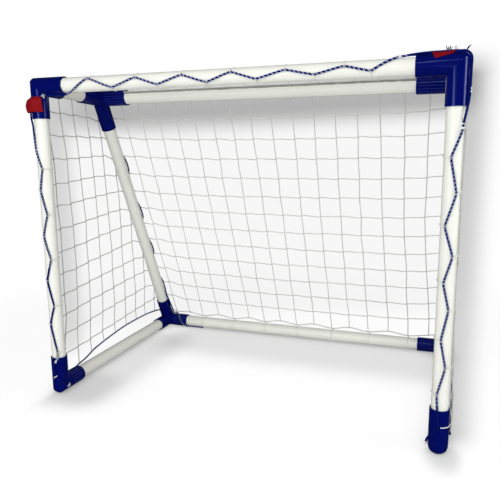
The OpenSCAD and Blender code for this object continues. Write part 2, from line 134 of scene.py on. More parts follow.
# The hem cords: [percent along the base bar, height above its axis, distance outside it]
HEM = [
    [8, -0.003, ON_FITTING], [13, 0.002, 0.0213], [18, 0.009, NET_MID], [24, 0.015, NET_MID],
    [31, 0.026, NET_MID], [44, 0.036, NET_MID], [58, 0.043, NET_MID], [73, 0.044, NET_MID],
    [84, 0.042, NET_MID], [94, 0.036, NET_MID], [97, 0.032, ON_FITTING],
]

# How a cord is braided
CARRIERS = 4  # strands each way
BRAID_POINTS = 16  # points in one turn of a strand
STRAND_SHARE = 0.29  # of the cord's radius
CORE_SHARE = 0.55
STRAND_DEPTH = 1.35  # how deep the strands' middles lie in the cord, against a strand's radius
TRACER_DEPTH = 0.75  # the same for the pale strand
CORD_STEP = 0.003  # between the points of a cord's route
CORD_BEND = 0.006  # how far from a turn the cord starts to bend
BAR_CORD_BEND = 0.004  # the same on the crossbar
WEAVE = 0.42  # how far a strand goes over and under, against its radius
TRACER_SHARE = 1.15  # the pale strand's radius, against the others
# Where along a cord its pale strand shows
FLECKED = {
    "crossbar_lacing": (0.06, 0.785),
    "left_post_lacing": (0.14, 0.56),
    "right_post_lacing": (0.0, 0.84),
    "left_strut_lacing": (0.84, 1.0),
    "left_hem_cord": (0.0, 1.0),
    "right_hem_cord": (0.0, 1.0),
}
CLOSER_FLECKS = 0.8  # spacing of the flecks in all cords but the crossbar's
TRACER_WORN = 0.75  # and there the pale strand is duller
CORD_FRAY = 0.0006  # radius of a loose strand of a cord
CORD_TIP = (0.0115, -0.004, 0.0215)  # the crossbar cord's frayed end, from the right corner
# Loose strands: the way they go, how widely they fan out, their length and their number
CORD_FAN = ((0.62, 0, 0.78), 0.12, 0.011, 5)
SPIRAL_FOOT_FAN = ((-0.2, -0.3, -1), 0.5, 0.008, 4)
SPIRAL_TOP_FAN = ((0.3, -0.4, 0.6), 0.6, 0.005, 3)
LEFT_KNOT_FANS = (((0.85, -0.25, -0.45), 0.9, 0.011, 8), ((-0.6, -0.2, 0.5), 0.9, 0.009, 6))
TUFT_FAN = ((0.25, 0, 1), 0.6, 0.006, 4)
FRAY_ROOT = 0.0012  # how far apart loose strands start, for a lean of one
FRAY_LENGTHS = (0.7, 1.1)  # shares of the length given
FRAY_BOW = 0.2  # how far one bows aside, against its length
FRAY_LEAN = 0.7  # how far their tips lean apart
FRAY_MIDDLE = 0.55  # share of its length at which it bows
FRAY_STEP = 0.0015  # between the points of a loose strand
TWINE = 0.0009  # thickness of the tying twine
TWINE_FRAY = 0.0004  # radius of a loose strand of the twine
TIE_PITCH = 0.00105  # between the turns of a tie
TIE_POINTS = 12  # points in one of its turns
TIE_WANDER = 0.0002  # how far a turn wanders off the cord
LOOSE_STEP = 0.0009  # between the points of its loose ends
LOOSE_WANDER = 0.0012  # how far it turns aside at each
SPIRAL_AT = (0.112, math.radians(-29))  # share of the left post, and how far round it
SPIRAL_TURNS = 7  # of the twine that winds down the left post's cord there
SPIRAL_PITCH = 0.0031  # between its turns
LEFT_KNOT = (0.016, math.radians(-60))  # where the crossbar's cord starts: share of it, and how far round

# Columns of the back net: distance from the left post's axis at the top, half way and the foot
BACK_COLUMNS = [
    (0.042, 0.033, 0.026), (0.091, 0.081, 0.075), (0.143, 0.132, 0.120), (0.193, 0.184, 0.178),
    (0.244, 0.234, 0.228), (0.295, 0.285, 0.282), (0.346, 0.338, 0.333), (0.397, 0.391, 0.387),
    (0.449, 0.443, 0.438), (0.504, 0.496, 0.495), (0.556, 0.548, 0.549), (0.607, 0.601, 0.603),
    (0.659, 0.654, 0.659), (0.711, 0.709, 0.717), (0.766, 0.764, 0.774), (0.819, 0.815, 0.831),
]
BACK_ROW_FIRST = 0.060  # first row down the back, at the net's side edge
BACK_ROW_STEP = 0.0556
BACK_ROW_COUNT = 12
DIP_REACH = 0.11  # over this distance from its side edges a row dips
TOP_DIP = 0.009  # the top row by this much
FOOT_DIP = 0.013  # and the lowest by this much more
ROW_SAG = 0.006  # each hangs lower again in the middle
BACK_FOOT = 0.752  # the back net's bottom thread
LEFT_FOOT_RISE = 0.03  # which ends this much higher at the left
RIGHT_FOOT_RISE = 0.02
EDGE_FOOT_RISE = 0.025  # and so much higher the side edges end
EDGE_TOP = 0.002  # where they start, below the ridge
RIDGE_SHIFT = 0.002  # how far beside its first place a column passes the ridge
TIED_COLUMNS = range(2, 15, 2)  # tied down to the back base bar
TIED_DROP = 0.006  # a tied column ends this much lower
FREE_RISE = 0.004  # and a free one this much higher
ROOF_SAG = 0.004
ROOF_ROWS = (0.057, 0.112, 0.168)  # distances behind the crossbar's axis
ROOF_START = 145  # degrees round the crossbar at which the roof net starts
ROOF_START_REACH = LOOP_RADIUS + 0.0012  # from its axis
ROOF_END_REACH = 0.0203  # its edge thread's distance from the crossbar's axis near the corners
ROOF_ASIDE = 0.0015  # how far a knot of the roof is off its place
START_ASIDE = 0.001  # and the start of a column
ROOF_KNOT_STEP = 0.001  # how far a row of the roof shifts at each side of a knot
# Columns of a side net: distance behind the post at the top, half way and the foot
SIDE_COLUMNS = [
    (0.041, 0.051, 0.051), (0.094, 0.111, 0.104), (0.145, 0.167, 0.160), (0.200, 0.220, 0.219),
    (0.252, 0.273, 0.278), (0.312, 0.328, 0.337), (0.368, 0.383, 0.394), (0.425, 0.438, 0.449),
    (0.487, 0.497, 0.509),
]
# Rows of a side net: height above the base bar at the post, near it, near the strut, at the strut
SIDE_ROWS = [
    (0.650, 0.648, 0.642, 0.631), (0.596, 0.594, 0.592, 0.581), (0.542, 0.539, 0.544, 0.530),
    (0.485, 0.481, 0.493, 0.480), (0.431, 0.428, 0.443, 0.430), (0.376, 0.372, 0.392, 0.381),
    (0.321, 0.317, 0.341, 0.331), (0.266, 0.261, 0.289, 0.279), (0.214, 0.210, 0.235, 0.228),
    (0.160, 0.160, 0.185, 0.176), (0.106, 0.108, 0.134, 0.127), (0.052, 0.054, 0.080, 0.078),
]
# Where a row has the second and the third of these heights, behind the post and before the strut
NEAR_POST = 0.08
BEFORE_STRUT = 0.06
LEAST_FAR = 0.12  # but the third never nearer the post than this
NET_FRONT = 0.0051  # the net starts this far behind the mouth's plane
CORNER_OUT = 0.0145  # the nets meet this far outside and above the top front corners' axes
CORNER_BACK = 0.018  # and this far behind them
COLUMN_TOP = 0.66  # height at which a side column's first place is measured
COLUMN_RUN = 0.62  # and from there down to its last
CLEAR_OF_STRUT = 0.004  # a crossing nearer the strut than this is left out
TOP_FORWARD = 0.004  # a column meets its top edge this much further to the front
SHORTEST_END = 0.004  # and stops below it where less than this is left
UNDER_EDGE = 0.001  # how far inside the nets' outline their edges run
ABOVE_HEM = 0.0026  # how far above the hem cord's middle a column ends
FRONT_FOOT = 0.038  # height at which the front edge starts
FRONT_WANDER = 0.003  # how far behind its line it goes between the loops
SIDE_CROWN = 0.0136  # a side net turns down this far behind the top back bar's axis
SIDE_LAST = 0.5264  # where its edge along the strut ends, behind the post
NET_STEP = 0.006  # between the points of a net's thread
KNOT_SIZE = 0.0019
KNOT_BULK = ((1.3, 1.7), (0.95, 1.2), (0.9, 1.1))  # its length, width and height, against that
KNOT_LEAN = 0.5  # radians by which it lies askew
LOOP_KNOT = 0.0014
RING_KNOT = 0.0016
SLACK = 0.0003  # how far a net's thread wanders at each point
ROOF_SLACK = 0.0004  # and along the roof's rows
ASIDE = 0.0013  # how far a knot is off its place, along the row
UPWARDS = 0.0011  # and along the column
PROUD = 0.002  # and outwards
EDGE_THICKNESS = 1.2  # of the nets' edge threads, against the others
EDGE_POINTS = 32  # parts of the threads along the crossbar and the ridge
EDGE_WANDER = 3  # degrees by which the one along the crossbar wanders round it
ROOF_EDGE_POINTS = 4  # parts of the roof's side edges
STRUT_EDGE_POINTS = 12  # and of the side nets' edges along the struts
ROW_SHIFT = 0.004  # how far beside a knot its row turns
SIDE_BELLY = 0.0042  # a side net hangs this much nearer the axes away from the corners
SIDE_DRAW = 0.011  # and this much more where it is drawn in behind the post
SIDE_TUCK = 0.014  # how far back its front edge is drawn there
TUCK_REACH = 0.03
BEHIND_POST = 0.16  # how far back it is drawn in
# Over these distances from a corner a side net is drawn in, and hangs clear
NEAR_CORNER = (0.07, 0.16)
NEAR_RIGHT_FOOT = (0.07, 0.11)
CLEAR_OF_FOOT = (0.07, 0.14)
CLEAR_OF_TOP = (0.04, 0.12)


def up(height):
    return Vector((0, 0, height))


def clamped(value):
    return max(0.0, min(1.0, value))


def smooth(share):
    return share * share * (3 - 2 * share)


def eased_step(low, high, value):
    """Goes smoothly from 0 to 1 as a value goes from low to high."""
    return smooth(clamped((value - low) / (high - low)))


def shaken(dice, reach):
    return dice.uniform(-reach, reach)


def any_way(dice, reach):
    return Vector([dice.uniform(-reach, reach) for _ in range(3)])


# Places on the goal. Those round a tube take a share of its length, an angle and a distance from its axis.


def by_bar(sizes, place, angle, reach, y, z):
    x = (place - 0.5) * 2 * sizes.half_width
    return Vector((x, y - reach * math.cos(angle), z + reach * math.sin(angle)))


def by_crossbar(sizes, place, angle, reach):
    return by_bar(sizes, place, angle, reach, FRONT, TOP_Z)


def by_back_bar(sizes, place, angle, reach):
    return by_bar(sizes, place, angle, reach, HEEL.y, HEEL.z)


def by_post(side):
    def place_on(sizes, place, angle, reach):
        x = side * (sizes.half_width + reach * math.sin(angle))
        return Vector((x, FRONT - reach * math.cos(angle), BASE_Z + place * GOAL_HEIGHT))

    return place_on


def by_strut(side):
    def place_on(sizes, place, angle, reach):
        inward = Vector((-side, 0, 0))
        axis = Vector((side * sizes.half_width, 0, 0)) + RIDGE + place * BACK_RUN
        return axis + reach * (math.cos(angle) * OFF_BACK + math.sin(angle) * inward)

    return place_on


def top_corner(sizes, side):
    """Where the axes of the crossbar and a post meet."""
    return Vector((side * sizes.half_width, FRONT, TOP_Z))


def on_back(sizes, across, down, off=NET_MID):
    """A point of the back net: across from the left post's axis, down from the ridge."""
    return Vector((across - sizes.half_width, 0, 0)) + RIDGE + ALONG_BACK * down + OFF_BACK * off


def behind_corner(sizes, side):
    """Where the nets meet behind a top front corner."""
    x = side * (sizes.half_width + CORNER_OUT)
    return Vector((x, FRONT + CORNER_BACK, TOP_Z + CORNER_OUT))


def side_reach(side, behind, height):
    """How far outside the axes a side net runs: out past the corners, drawn in behind the post."""
    foot = NEAR_CORNER if side == LEFT else NEAR_RIGHT_FOOT
    middle = eased_step(*foot, height) * eased_step(*NEAR_CORNER, GOAL_HEIGHT - height)
    near_post = 1 - eased_step(0.0, BEHIND_POST, behind)
    clear = eased_step(*CLEAR_OF_FOOT, height) * eased_step(*CLEAR_OF_TOP, GOAL_HEIGHT - height)
    return NET_MID - SIDE_BELLY * clear - SIDE_DRAW * near_post * middle


def on_side(sizes, side, behind, height, proud=0.0):
    """A point of a side net: behind the post, above the base bar's axis."""
    tuck = SIDE_TUCK * (1 - eased_step(0.0, TUCK_REACH, behind)) * eased_step(*NEAR_CORNER, height)
    tuck *= eased_step(*NEAR_CORNER, GOAL_HEIGHT - height)
    off = side_reach(side, behind, height) + proud
    return Vector((side * (sizes.half_width + off), FRONT + behind + tuck, BASE_Z + height))


def strut_line(height):
    """How far behind the post the side net ends at this height."""
    down = RIDGE.z - BASE_Z - height
    return (RIDGE.y - FRONT) + down * BACK_RUN.y / -BACK_RUN.z + NET_MID / OFF_BACK.y


# Lines through points


def eased(points, step):
    """Points on a smooth line through the given ones, no further apart than step."""
    out = []
    last = len(points) - 1
    for i in range(last):
        a, b = points[i], points[i + 1]
        length = max((b - a).length, 1e-6)
        into = onward = b - a
        if i > 0:
            before = points[i - 1]
            into = (b - before) * length / (length + (a - before).length)
        if i + 1 < last:
            after = points[i + 2]
            onward = (after - a) * length / (length + (after - b).length)
        count = max(1, math.ceil(length / step))
        for k in range(count):
            t = k / count
            square, cube = t * t, t * t * t
            out.append(
                a * (2 * cube - 3 * square + 1)
                + into * (cube - 2 * square + t)
                + b * (3 * square - 2 * cube)
                + onward * (cube - square)
            )
    out.append(points[-1].copy())
    return out


def evenly(points, step):
    """The same line with its points step apart."""
    out = [points[0].copy()]
    left = step
    for a, b in zip(points, points[1:]):
        length = (b - a).length
        done = 0.0
        while length - done >= left:
            done += left
            out.append(a.lerp(b, done / length))
            left = step
        left -= length - done
    if (out[-1] - points[-1]).length > step * 0.3:
        out.append(points[-1].copy())
    return out


def cornered(points, radius, step):
    """Straight legs between points, with each corner rounded."""
    line = [points[0]]
    for a, b, c in zip(points, points[1:], points[2:]):
        reach = min(radius, (b - a).length * 0.45, (c - b).length * 0.45)
        into = b + (a - b).normalized() * reach
        onward = b + (c - b).normalized() * reach
        for t in (0, 0.25, 0.5, 0.75, 1):
            line.append(into.lerp(b, t).lerp(b.lerp(onward, t), t))
    line.append(points[-1])
    return evenly(line, step)


def wound(sizes, place_on, length, route, step, bend=CORD_BEND):
    """A line that follows [percent, degrees, reach] points round a tube of this length."""
    flat = [Vector((p[0] / 100 * length, math.radians(p[1]) * ON_TUBE, p[2])) for p in route]
    return [place_on(sizes, q.x / length, q.y / ON_TUBE, q.z) for q in cornered(flat, bend, step)]


def sideways(points):
    """At each point of a line, two directions square to it that twist as little as may be."""
    out = []
    side = None
    last = len(points) - 1
    for i in range(len(points)):
        ahead = (points[min(i + 1, last)] - points[max(i - 1, 0)]).normalized()
        if side is None:
            side = ahead.orthogonal()
        side = (side - ahead * side.dot(ahead)).normalized()
        out.append((side, ahead.cross(side)))
    return out


# Meshes


def mesh_of(form, name):
    mesh = bpy.data.meshes.new(name)
    form.to_mesh(mesh)
    form.free()
    return mesh


def finished(name, mesh, finishes, node):
    """Shows a mesh as one piece of the goal, in place of its CAD node."""
    if not mesh.materials:
        for finish in finishes:
            mesh.materials.append(finish)
    piece = bpy.data.objects.new(name, mesh)
    bpy.context.scene.collection.objects.link(piece)
    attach(piece, "root")
    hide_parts(node)
    return piece


def round_strands(name, strands, finishes=()):
    """A mesh of round strands: each is (points, radius, index of its finish)."""
    line = bpy.data.curves.new(name + "_line", "CURVE")
    for finish in finishes:
        line.materials.append(finish)
    line.dimensions = "3D"
    line.use_fill_caps = True
    line.bevel_resolution = 1
    line.bevel_depth = strands[0][1]
    for points, radius, finish in strands:
        spline = line.splines.new("POLY")
        spline.points.add(len(points) - 1)
        spline.points.foreach_set("co", [c for p in points for c in (p.x, p.y, p.z, 1.0)])
        spline.points.foreach_set("radius", [radius / line.bevel_depth] * len(points))
        spline.material_index = finish
        spline.use_smooth = True
    carrier = bpy.data.objects.new(name + "_line", line)
    mesh = bpy.data.meshes.new_from_object(carrier)
    mesh.name = name
    bpy.data.objects.remove(carrier)
    bpy.data.curves.remove(line)
    return mesh


def braided(route, radius, pitch, fleck=0.0, part=None):
    """Strands of a round braid along a route: a core, and carriers each way that pass over and under.

    Over a part of the route a pale strand winds round it, once in each fleck's length.
    """
    step = pitch / BRAID_POINTS
    points = evenly(route, step)
    sides = sideways(points)
    strand = radius * STRAND_SHARE
    middle = radius - strand * STRAND_DEPTH

    def turned(i, angle, reach):
        across, over = sides[i]
        return points[i] + (across * math.cos(angle) + over * math.sin(angle)) * reach

    strands = [(points, radius * CORE_SHARE, 0)]
    for way in (1, -1):
        for k in range(CARRIERS):
            path = []
            for i in range(len(points)):
                angle = way * math.tau * i / BRAID_POINTS + k * math.tau / CARRIERS
                weave = way * strand * WEAVE * math.cos(2 * CARRIERS * math.tau * i / BRAID_POINTS)
                path.append(turned(i, angle, middle + weave))
            strands.append((path, strand, 0))
    if part:
        first, last = (round(share * (len(points) - 1)) for share in part)
        out = radius - strand * TRACER_DEPTH
        path = [turned(i, math.tau * i * step / fleck, out) for i in range(first, last + 1)]
        strands.append((path, strand * TRACER_SHARE, 1))
    return strands


def knots(mesh, places, dice, size=KNOT_SIZE):
    """Adds a small lump of thread to a mesh at each place."""
    lumps = bmesh.new()
    for place, along in places:
        lean = Matrix.Rotation(shaken(dice, KNOT_LEAN), 3, "Z").to_quaternion()
        lean = along.to_track_quat("X", "Z") @ lean
        bulk = Vector([dice.uniform(*span) for span in KNOT_BULK]) * size
        matrix = Matrix.LocRotScale(place, lean, bulk)
        bmesh.ops.create_uvsphere(lumps, u_segments=7, v_segments=5, radius=1, matrix=matrix)
    for face in lumps.faces:
        face.smooth = True
    lump_mesh = mesh_of(lumps, "lumps")
    form = bmesh.new()
    form.from_mesh(mesh)
    form.from_mesh(lump_mesh)
    form.to_mesh(mesh)
    form.free()
    bpy.data.meshes.remove(lump_mesh)


# Finishes

TONE_STOPS = (0.3, 0.7)  # where the noise has its low and its high tone
GRAIN_STRENGTH = 0.35
PLASTIC_MOTTLING = (9, 4)  # a noise's scale and detail
PLASTIC_GRAIN = (900, 2, 0.000015)  # the same, and how high it stands
FIBRE_MOTTLING = (240, 4)
FIBRE_GRAIN = (1400, 3, 0.0002)


def finish_nodes(name):
    finish = bpy.data.materials.new(name)
    finish.use_nodes = True
    nodes, links = finish.node_tree.nodes, finish.node_tree.links
    return finish, nodes, links, nodes["Principled BSDF"]


def noise(nodes, links, scale, detail):
    place = nodes.new("ShaderNodeTexCoord")
    grain = nodes.new("ShaderNodeTexNoise")
    grain.inputs["Scale"].default_value = scale
    grain.inputs["Detail"].default_value = detail
    links.new(place.outputs["Object"], grain.inputs["Vector"])
    return grain


def mottled(nodes, links, shader, grain, low, high):
    """Colours a shader between two tones by a noise."""
    ramp = nodes.new("ShaderNodeValToRGB")
    for element, stop, tone in zip(ramp.color_ramp.elements, TONE_STOPS, (low, high)):
        element.position = stop
        element.color = (*tone, 1)
    links.new(grain.outputs["Fac"], ramp.inputs["Fac"])
    links.new(ramp.outputs["Color"], shader.inputs["Base Color"])


def bumped(nodes, links, shader, grain, height):
    bump = nodes.new("ShaderNodeBump")
    bump.inputs["Strength"].default_value = GRAIN_STRENGTH
    bump.inputs["Distance"].default_value = height
    links.new(grain.outputs["Fac"], bump.inputs["Height"])
    links.new(bump.outputs["Normal"], shader.inputs["Normal"])


def shade(colour, factor):
    return tuple(min(1.0, c * factor) for c in colour)


def grained(name, colour, spread, roughness, gloss, mottling, grain):
    """A finish of mottled colour with a fine grain."""
    finish, nodes, links, shader = finish_nodes(name)
    low, high = shade(colour, 1 - spread), shade(colour, 1 + spread)
    mottled(nodes, links, shader, noise(nodes, links, *mottling), low, high)
    shader.inputs["Roughness"].default_value = roughness
    shader.inputs["Specular IOR Level"].default_value = gloss
    bumped(nodes, links, shader, noise(nodes, links, *grain[:2]), grain[2])
    return finish, shader


def plastic(name, colour, roughness, gloss, spread, tint=(1, 1, 1)):
    finish, shader = grained(name, colour, spread, roughness, gloss, PLASTIC_MOTTLING, PLASTIC_GRAIN)
    shader.inputs["Specular Tint"].default_value = (*tint, 1)
    return finish


def fibre(name, colour, roughness, spread, gloss=0.2, sheen=0.05):
    finish, shader = grained(name, colour, spread, roughness, gloss, FIBRE_MOTTLING, FIBRE_GRAIN)
    shader.inputs["Sheen Weight"].default_value = sheen
    return finish


# The net


def net_thread(points, dice, wander=SLACK):
    """A net thread through its knots, slightly slack between them."""
    return eased([p + any_way(dice, wander) for p in points], NET_STEP)


def column_at(column, share):
    """Where a column runs at a share of the way down, from its three measured places."""
    top, middle, foot = column
    if share < 0.5:
        return top + (middle - top) * share * 2
    return middle + (foot - middle) * (share * 2 - 1)


def back_row_at(row, across, width):
    """How far down the back a row runs, which dips away from the net's side edges."""
    edge = BACK_ROW_FIRST + BACK_ROW_STEP * row
    near = min(across, width - across) + NET_MID
    rise = min(1.0, near / DIP_REACH)
    dip = (TOP_DIP + FOOT_DIP * (row / BACK_ROW_COUNT) ** 2) * rise * rise * (3 - 2 * rise)
    return edge + dip + ROW_SAG * math.sin(math.pi * clamped(across / width))


def foot_at(i):
    """How far down the back a column ends."""
    return BACK_FOOT + (TIED_DROP if i in TIED_COLUMNS else -FREE_RISE)


def build_back_net(sizes, thread, dice):
    width = 2 * sizes.half_width
    half = sizes.net_thread / 2
    strands, places = [], []
    crossings = {}
    for i, column in enumerate(BACK_COLUMNS):
        for row in range(BACK_ROW_COUNT):
            across = column_at(column, row / (BACK_ROW_COUNT - 1))
            jitter = shaken(dice, ASIDE)
            down = back_row_at(row, across, width) + shaken(dice, UPWARDS)
            point = on_back(sizes, across + jitter, down, NET_MID + dice.uniform(0, PROUD))
            crossings[i, row] = point
            places.append((point, ALONG_BACK))
    for i, column in enumerate(BACK_COLUMNS):
        line = [on_back(sizes, column[0] + RIDGE_SHIFT, 0.0)]
        line += [crossings[i, row] for row in range(BACK_ROW_COUNT)]
        line.append(on_back(sizes, column[2], foot_at(i)))
        strands.append((net_thread(line, dice), half, 0))
        places.append((line[-1], ALONG_BACK))
    for row in range(BACK_ROW_COUNT):
        line = [on_back(sizes, -NET_MID, back_row_at(row, -NET_MID, width))]
        for i in range(len(BACK_COLUMNS)):
            point = crossings[i, row]
            line.append(point + Vector((-ROW_SHIFT, 0, 0)) + ALONG_BACK * sizes.knot_step)
            line.append(point + Vector((ROW_SHIFT, 0, 0)) - ALONG_BACK * sizes.knot_step)
        line.append(on_back(sizes, width + NET_MID, back_row_at(row, width + NET_MID, width)))
        strands.append((net_thread(line, dice), half, 0))
    edge = [on_back(sizes, -NET_MID, BACK_FOOT - LEFT_FOOT_RISE)]
    edge += [on_back(sizes, column[2], foot_at(i)) for i, column in enumerate(BACK_COLUMNS)]
    edge.append(on_back(sizes, width + NET_MID, BACK_FOOT - RIGHT_FOOT_RISE))
    strands.append((net_thread(edge, dice), half * EDGE_THICKNESS, 0))
    for across in (-NET_MID, width + NET_MID):
        side_edge = [on_back(sizes, across, EDGE_TOP)]
        for row in range(BACK_ROW_COUNT):
            side_edge.append(on_back(sizes, across, back_row_at(row, across, width)))
        side_edge.append(on_back(sizes, across, BACK_FOOT - EDGE_FOOT_RISE))
        strands.append((net_thread(side_edge, dice), half * EDGE_THICKNESS, 0))
    mesh = round_strands("back_net_threads", strands)
    knots(mesh, places, dice)
    finished("back_net_threads", mesh, [thread], "back_net")


def build_roof_net(sizes, thread, dice):
    width = 2 * sizes.half_width
    half = sizes.net_thread / 2
    depth = ROOF_RUN.length

    def on_roof(across, back):
        sag = ROOF_SAG * math.sin(math.pi * clamped(back / depth))
        front = Vector((across - sizes.half_width, FRONT, TOP_Z))
        return front + ALONG_ROOF * back + OFF_ROOF * (NET_MID - sag)

    def behind_bar(across, degrees=ROOF_START, reach=ROOF_START_REACH):
        return by_crossbar(sizes, across / width, math.radians(degrees), reach)

    strands, places = [], []
    for column in BACK_COLUMNS:
        across = column[0] + RIDGE_SHIFT
        line = [behind_bar(across + shaken(dice, START_ASIDE))]
        for row in ROOF_ROWS:
            line.append(on_roof(across + shaken(dice, ROOF_ASIDE), row))
            places.append((line[-1].copy(), ALONG_ROOF))
        line.append(on_roof(across, depth))
        line.append(on_back(sizes, across, 0.0))
        strands.append((net_thread(line, dice), half, 0))
    for row in ROOF_ROWS:
        line = [on_roof(-NET_MID, row)]
        for column in BACK_COLUMNS:
            line.append(on_roof(column[0], row + ROOF_KNOT_STEP))
            line.append(on_roof(column[0] + ROW_SHIFT, row - ROOF_KNOT_STEP))
        line.append(on_roof(width + NET_MID, row))
        strands.append((net_thread(line, dice, ROOF_SLACK), half, 0))
    # The edge thread behind the crossbar, slack between the loops that hold it
    edge = [behind_corner(sizes, LEFT)]
    for i in range(EDGE_POINTS + 1):
        place = (width * i / EDGE_POINTS, ROOF_START + shaken(dice, EDGE_WANDER))
        clear_of_corners = 2 < i < EDGE_POINTS - 2
        edge.append(behind_bar(*place) if clear_of_corners else behind_bar(*place, ROOF_END_REACH))
    edge.append(behind_corner(sizes, RIGHT))
    strands.append((eased(edge, NET_STEP), half * EDGE_THICKNESS, 0))
    ridge = []
    for i in range(EDGE_POINTS + 1):
        ridge.append(on_back(sizes, -NET_MID + (width + 2 * NET_MID) * i / EDGE_POINTS, 0.0))
    strands.append((eased(ridge, NET_STEP), half, 0))
    for across in (-NET_MID, width + NET_MID):
        line = [behind_corner(sizes, LEFT if across < 0 else RIGHT)]
        for k in range(ROOF_EDGE_POINTS):
            line.append(on_roof(across, NET_FRONT + (depth - NET_FRONT) * (k + 1) / ROOF_EDGE_POINTS))
        line.append(on_back(sizes, across, EDGE_TOP))
        strands.append((eased(line, NET_STEP), half * EDGE_THICKNESS, 0))
    mesh = round_strands("roof_net_threads", strands)
    knots(mesh, places, dice)
    finished("roof_net_threads", mesh, [thread], "roof_net")


def hem_height(behind):
    """How high above the base bar the hem cord runs at a distance behind the post."""
    percent = behind / BASE_DEPTH * 100
    for a, b in zip(HEM, HEM[1:]):
        if percent <= b[0]:
            return a[1] + (b[1] - a[1]) * max(0.0, (percent - a[0]) / (b[0] - a[0]))
    return HEM[-1][1]


def side_row_at(row, behind):
    """Height of a side net's row at a distance behind the post."""
    post, near, far, strut = SIDE_ROWS[row]
    last = strut_line(strut)
    stops = [(0.0, post), (NEAR_POST, near), (max(LEAST_FAR, last - BEFORE_STRUT), far), (last, strut)]
    for (a, low), (b, high) in zip(stops, stops[1:]):
        if behind <= b:
            share = max(0.0, (behind - a) / (b - a))
            share = smooth(share) if a > NEAR_POST else share
            return low + (high - low) * share
    return strut


def side_top(behind):
    """Height where a column ends: on the roof's edge, or on the edge along the strut."""
    roof = GOAL_HEIGHT + NET_MID - behind * ROOF_SLOPE
    slope = -BACK_RUN.z / BACK_RUN.y
    strut = (RIDGE.z - BASE_Z) + (RIDGE.y - FRONT + NET_MID / OFF_BACK.y - behind) * slope
    return min(roof, strut)


def build_side_net(sizes, side, thread, dice):
    name = "left_side_net" if side == LEFT else "right_side_net"
    half = sizes.net_thread / 2
    strands, places = [], []
    crossings = {}
    for i, column in enumerate(SIDE_COLUMNS):
        for row in range(len(SIDE_ROWS)):
            share = clamped((COLUMN_TOP - SIDE_ROWS[row][1]) / COLUMN_RUN)
            behind = column_at(column, share) + shaken(dice, ASIDE)
            height = side_row_at(row, behind)
            if behind < strut_line(height) - CLEAR_OF_STRUT:
                height += shaken(dice, UPWARDS)
                crossings[i, row] = on_side(sizes, side, behind, height, dice.uniform(0, PROUD))
                places.append((crossings[i, row], up(-1)))
    for i, column in enumerate(SIDE_COLUMNS):
        held = [crossings[i, row] for row in range(len(SIDE_ROWS)) if (i, row) in crossings]
        first = held[0].y - FRONT
        top = on_side(sizes, side, first - TOP_FORWARD, side_top(first - TOP_FORWARD) - UNDER_EDGE)
        foot = on_side(sizes, side, column[2], hem_height(column[2]) + ABOVE_HEM)
        if top.z - held[0].z > SHORTEST_END:
            held = [top] + held
        strands.append((net_thread(held + [foot], dice), half, 0))
        places.append((foot, up(-1)))
    for row in range(len(SIDE_ROWS)):
        line = [on_side(sizes, side, NET_FRONT, SIDE_ROWS[row][0])]
        for i in range(len(SIDE_COLUMNS)):
            if (i, row) in crossings:
                line.append(crossings[i, row] + Vector((0, -ROW_SHIFT, -sizes.knot_step)))
                line.append(crossings[i, row] + Vector((0, ROW_SHIFT, sizes.knot_step)))
        strut = SIDE_ROWS[row][3]
        line.append(on_side(sizes, side, strut_line(strut) - UNDER_EDGE, strut))
        strands.append((net_thread(line, dice), half, 0))
    # The front edge wanders between the loops that tie it to the post
    front = [on_side(sizes, side, NET_FRONT, FRONT_FOOT)]
    for row in reversed(range(len(SIDE_ROWS))):
        front.append(on_side(sizes, side, NET_FRONT + dice.uniform(0, FRONT_WANDER), SIDE_ROWS[row][0]))
    front.append(behind_corner(sizes, side))
    strands.append((eased(front, NET_STEP), half * EDGE_THICKNESS, 0))
    crown = (RIDGE.y - FRONT) + SIDE_CROWN
    roof = [behind_corner(sizes, side)]
    for k in range(ROOF_EDGE_POINTS):
        point = on_side(sizes, side, NET_FRONT + (crown - NET_FRONT) * (k + 1) / ROOF_EDGE_POINTS, 0)
        roof.append(point + up(side_top(point.y - FRONT) - UNDER_EDGE))
    strands.append((eased(roof, NET_STEP), half * EDGE_THICKNESS, 0))
    back = []
    for k in range(STRUT_EDGE_POINTS + 1):
        behind = crown + (SIDE_LAST - crown) * k / STRUT_EDGE_POINTS
        back.append(on_side(sizes, side, behind, side_top(behind) - UNDER_EDGE))
    strands.append((eased(back, NET_STEP), half * EDGE_THICKNESS, 0))
    mesh = round_strands(name + "_threads", strands)
    knots(mesh, places, dice)
    finished(name + "_threads", mesh, [thread], name)


# Where the loops end behind a tube, in degrees: those that come from below and above a bar,
# and round the inside and the outside of a post
ROUND_BAR = (-165, 138)
ROUND_POST = (-190, 148)
TAIL_DEGREES = 8  # how far a loop's end runs on there
LOOP_DEGREES = 12  # between the points of a loop
LOOP_LEAN = 0.006  # how far along its tube a loop's end is off its start
RING_LEAN = 0.004
LOOP_KNOT_LIFT = 0.0006  # how far the loops' knots stand off a thread on the tube
RING_KNOT_LIFT = 0.0008
RING_ANGLES = (150, -205)  # a ring's start and end, in degrees
RING_KNOT_ANGLE = math.radians(112)
BAR_LOOP_THICKNESS = 0.75  # of the crossbar's loops, against the net's thread
BAR_LOOP_RADIUS = 0.0166
EYE_THICKNESS = 0.5  # of the eye in which a loop holds the cord, against the loop
EYE_SPREAD = 0.0036  # half its width
EYE_LIFT = 0.0054  # its height over the tube
EYE_WIDTH = 0.004  # to its knot
EYE_POINTS = 8  # parts of its line
RING_PLACES = (0.137, 0.237, 0.344, 0.447, 0.556, 0.666, 0.776)  # from the left post's axis
# The net's selvage behind the crossbar, and a thick dark strand beside it that is painted shade in the gap
# above the top back bar: [degrees, distance off the tube, thickness, finish]
SELVAGE_AND_SHADE_STRAND = ((-112, 0.0030, 0.9, 1), (-120, 0.0064, 2.5, 2))
SELVAGE_FROM = 0.24  # shares of the crossbar's length
SELVAGE_LENGTH = 0.68
SELVAGE_POINTS = 59  # parts of its line


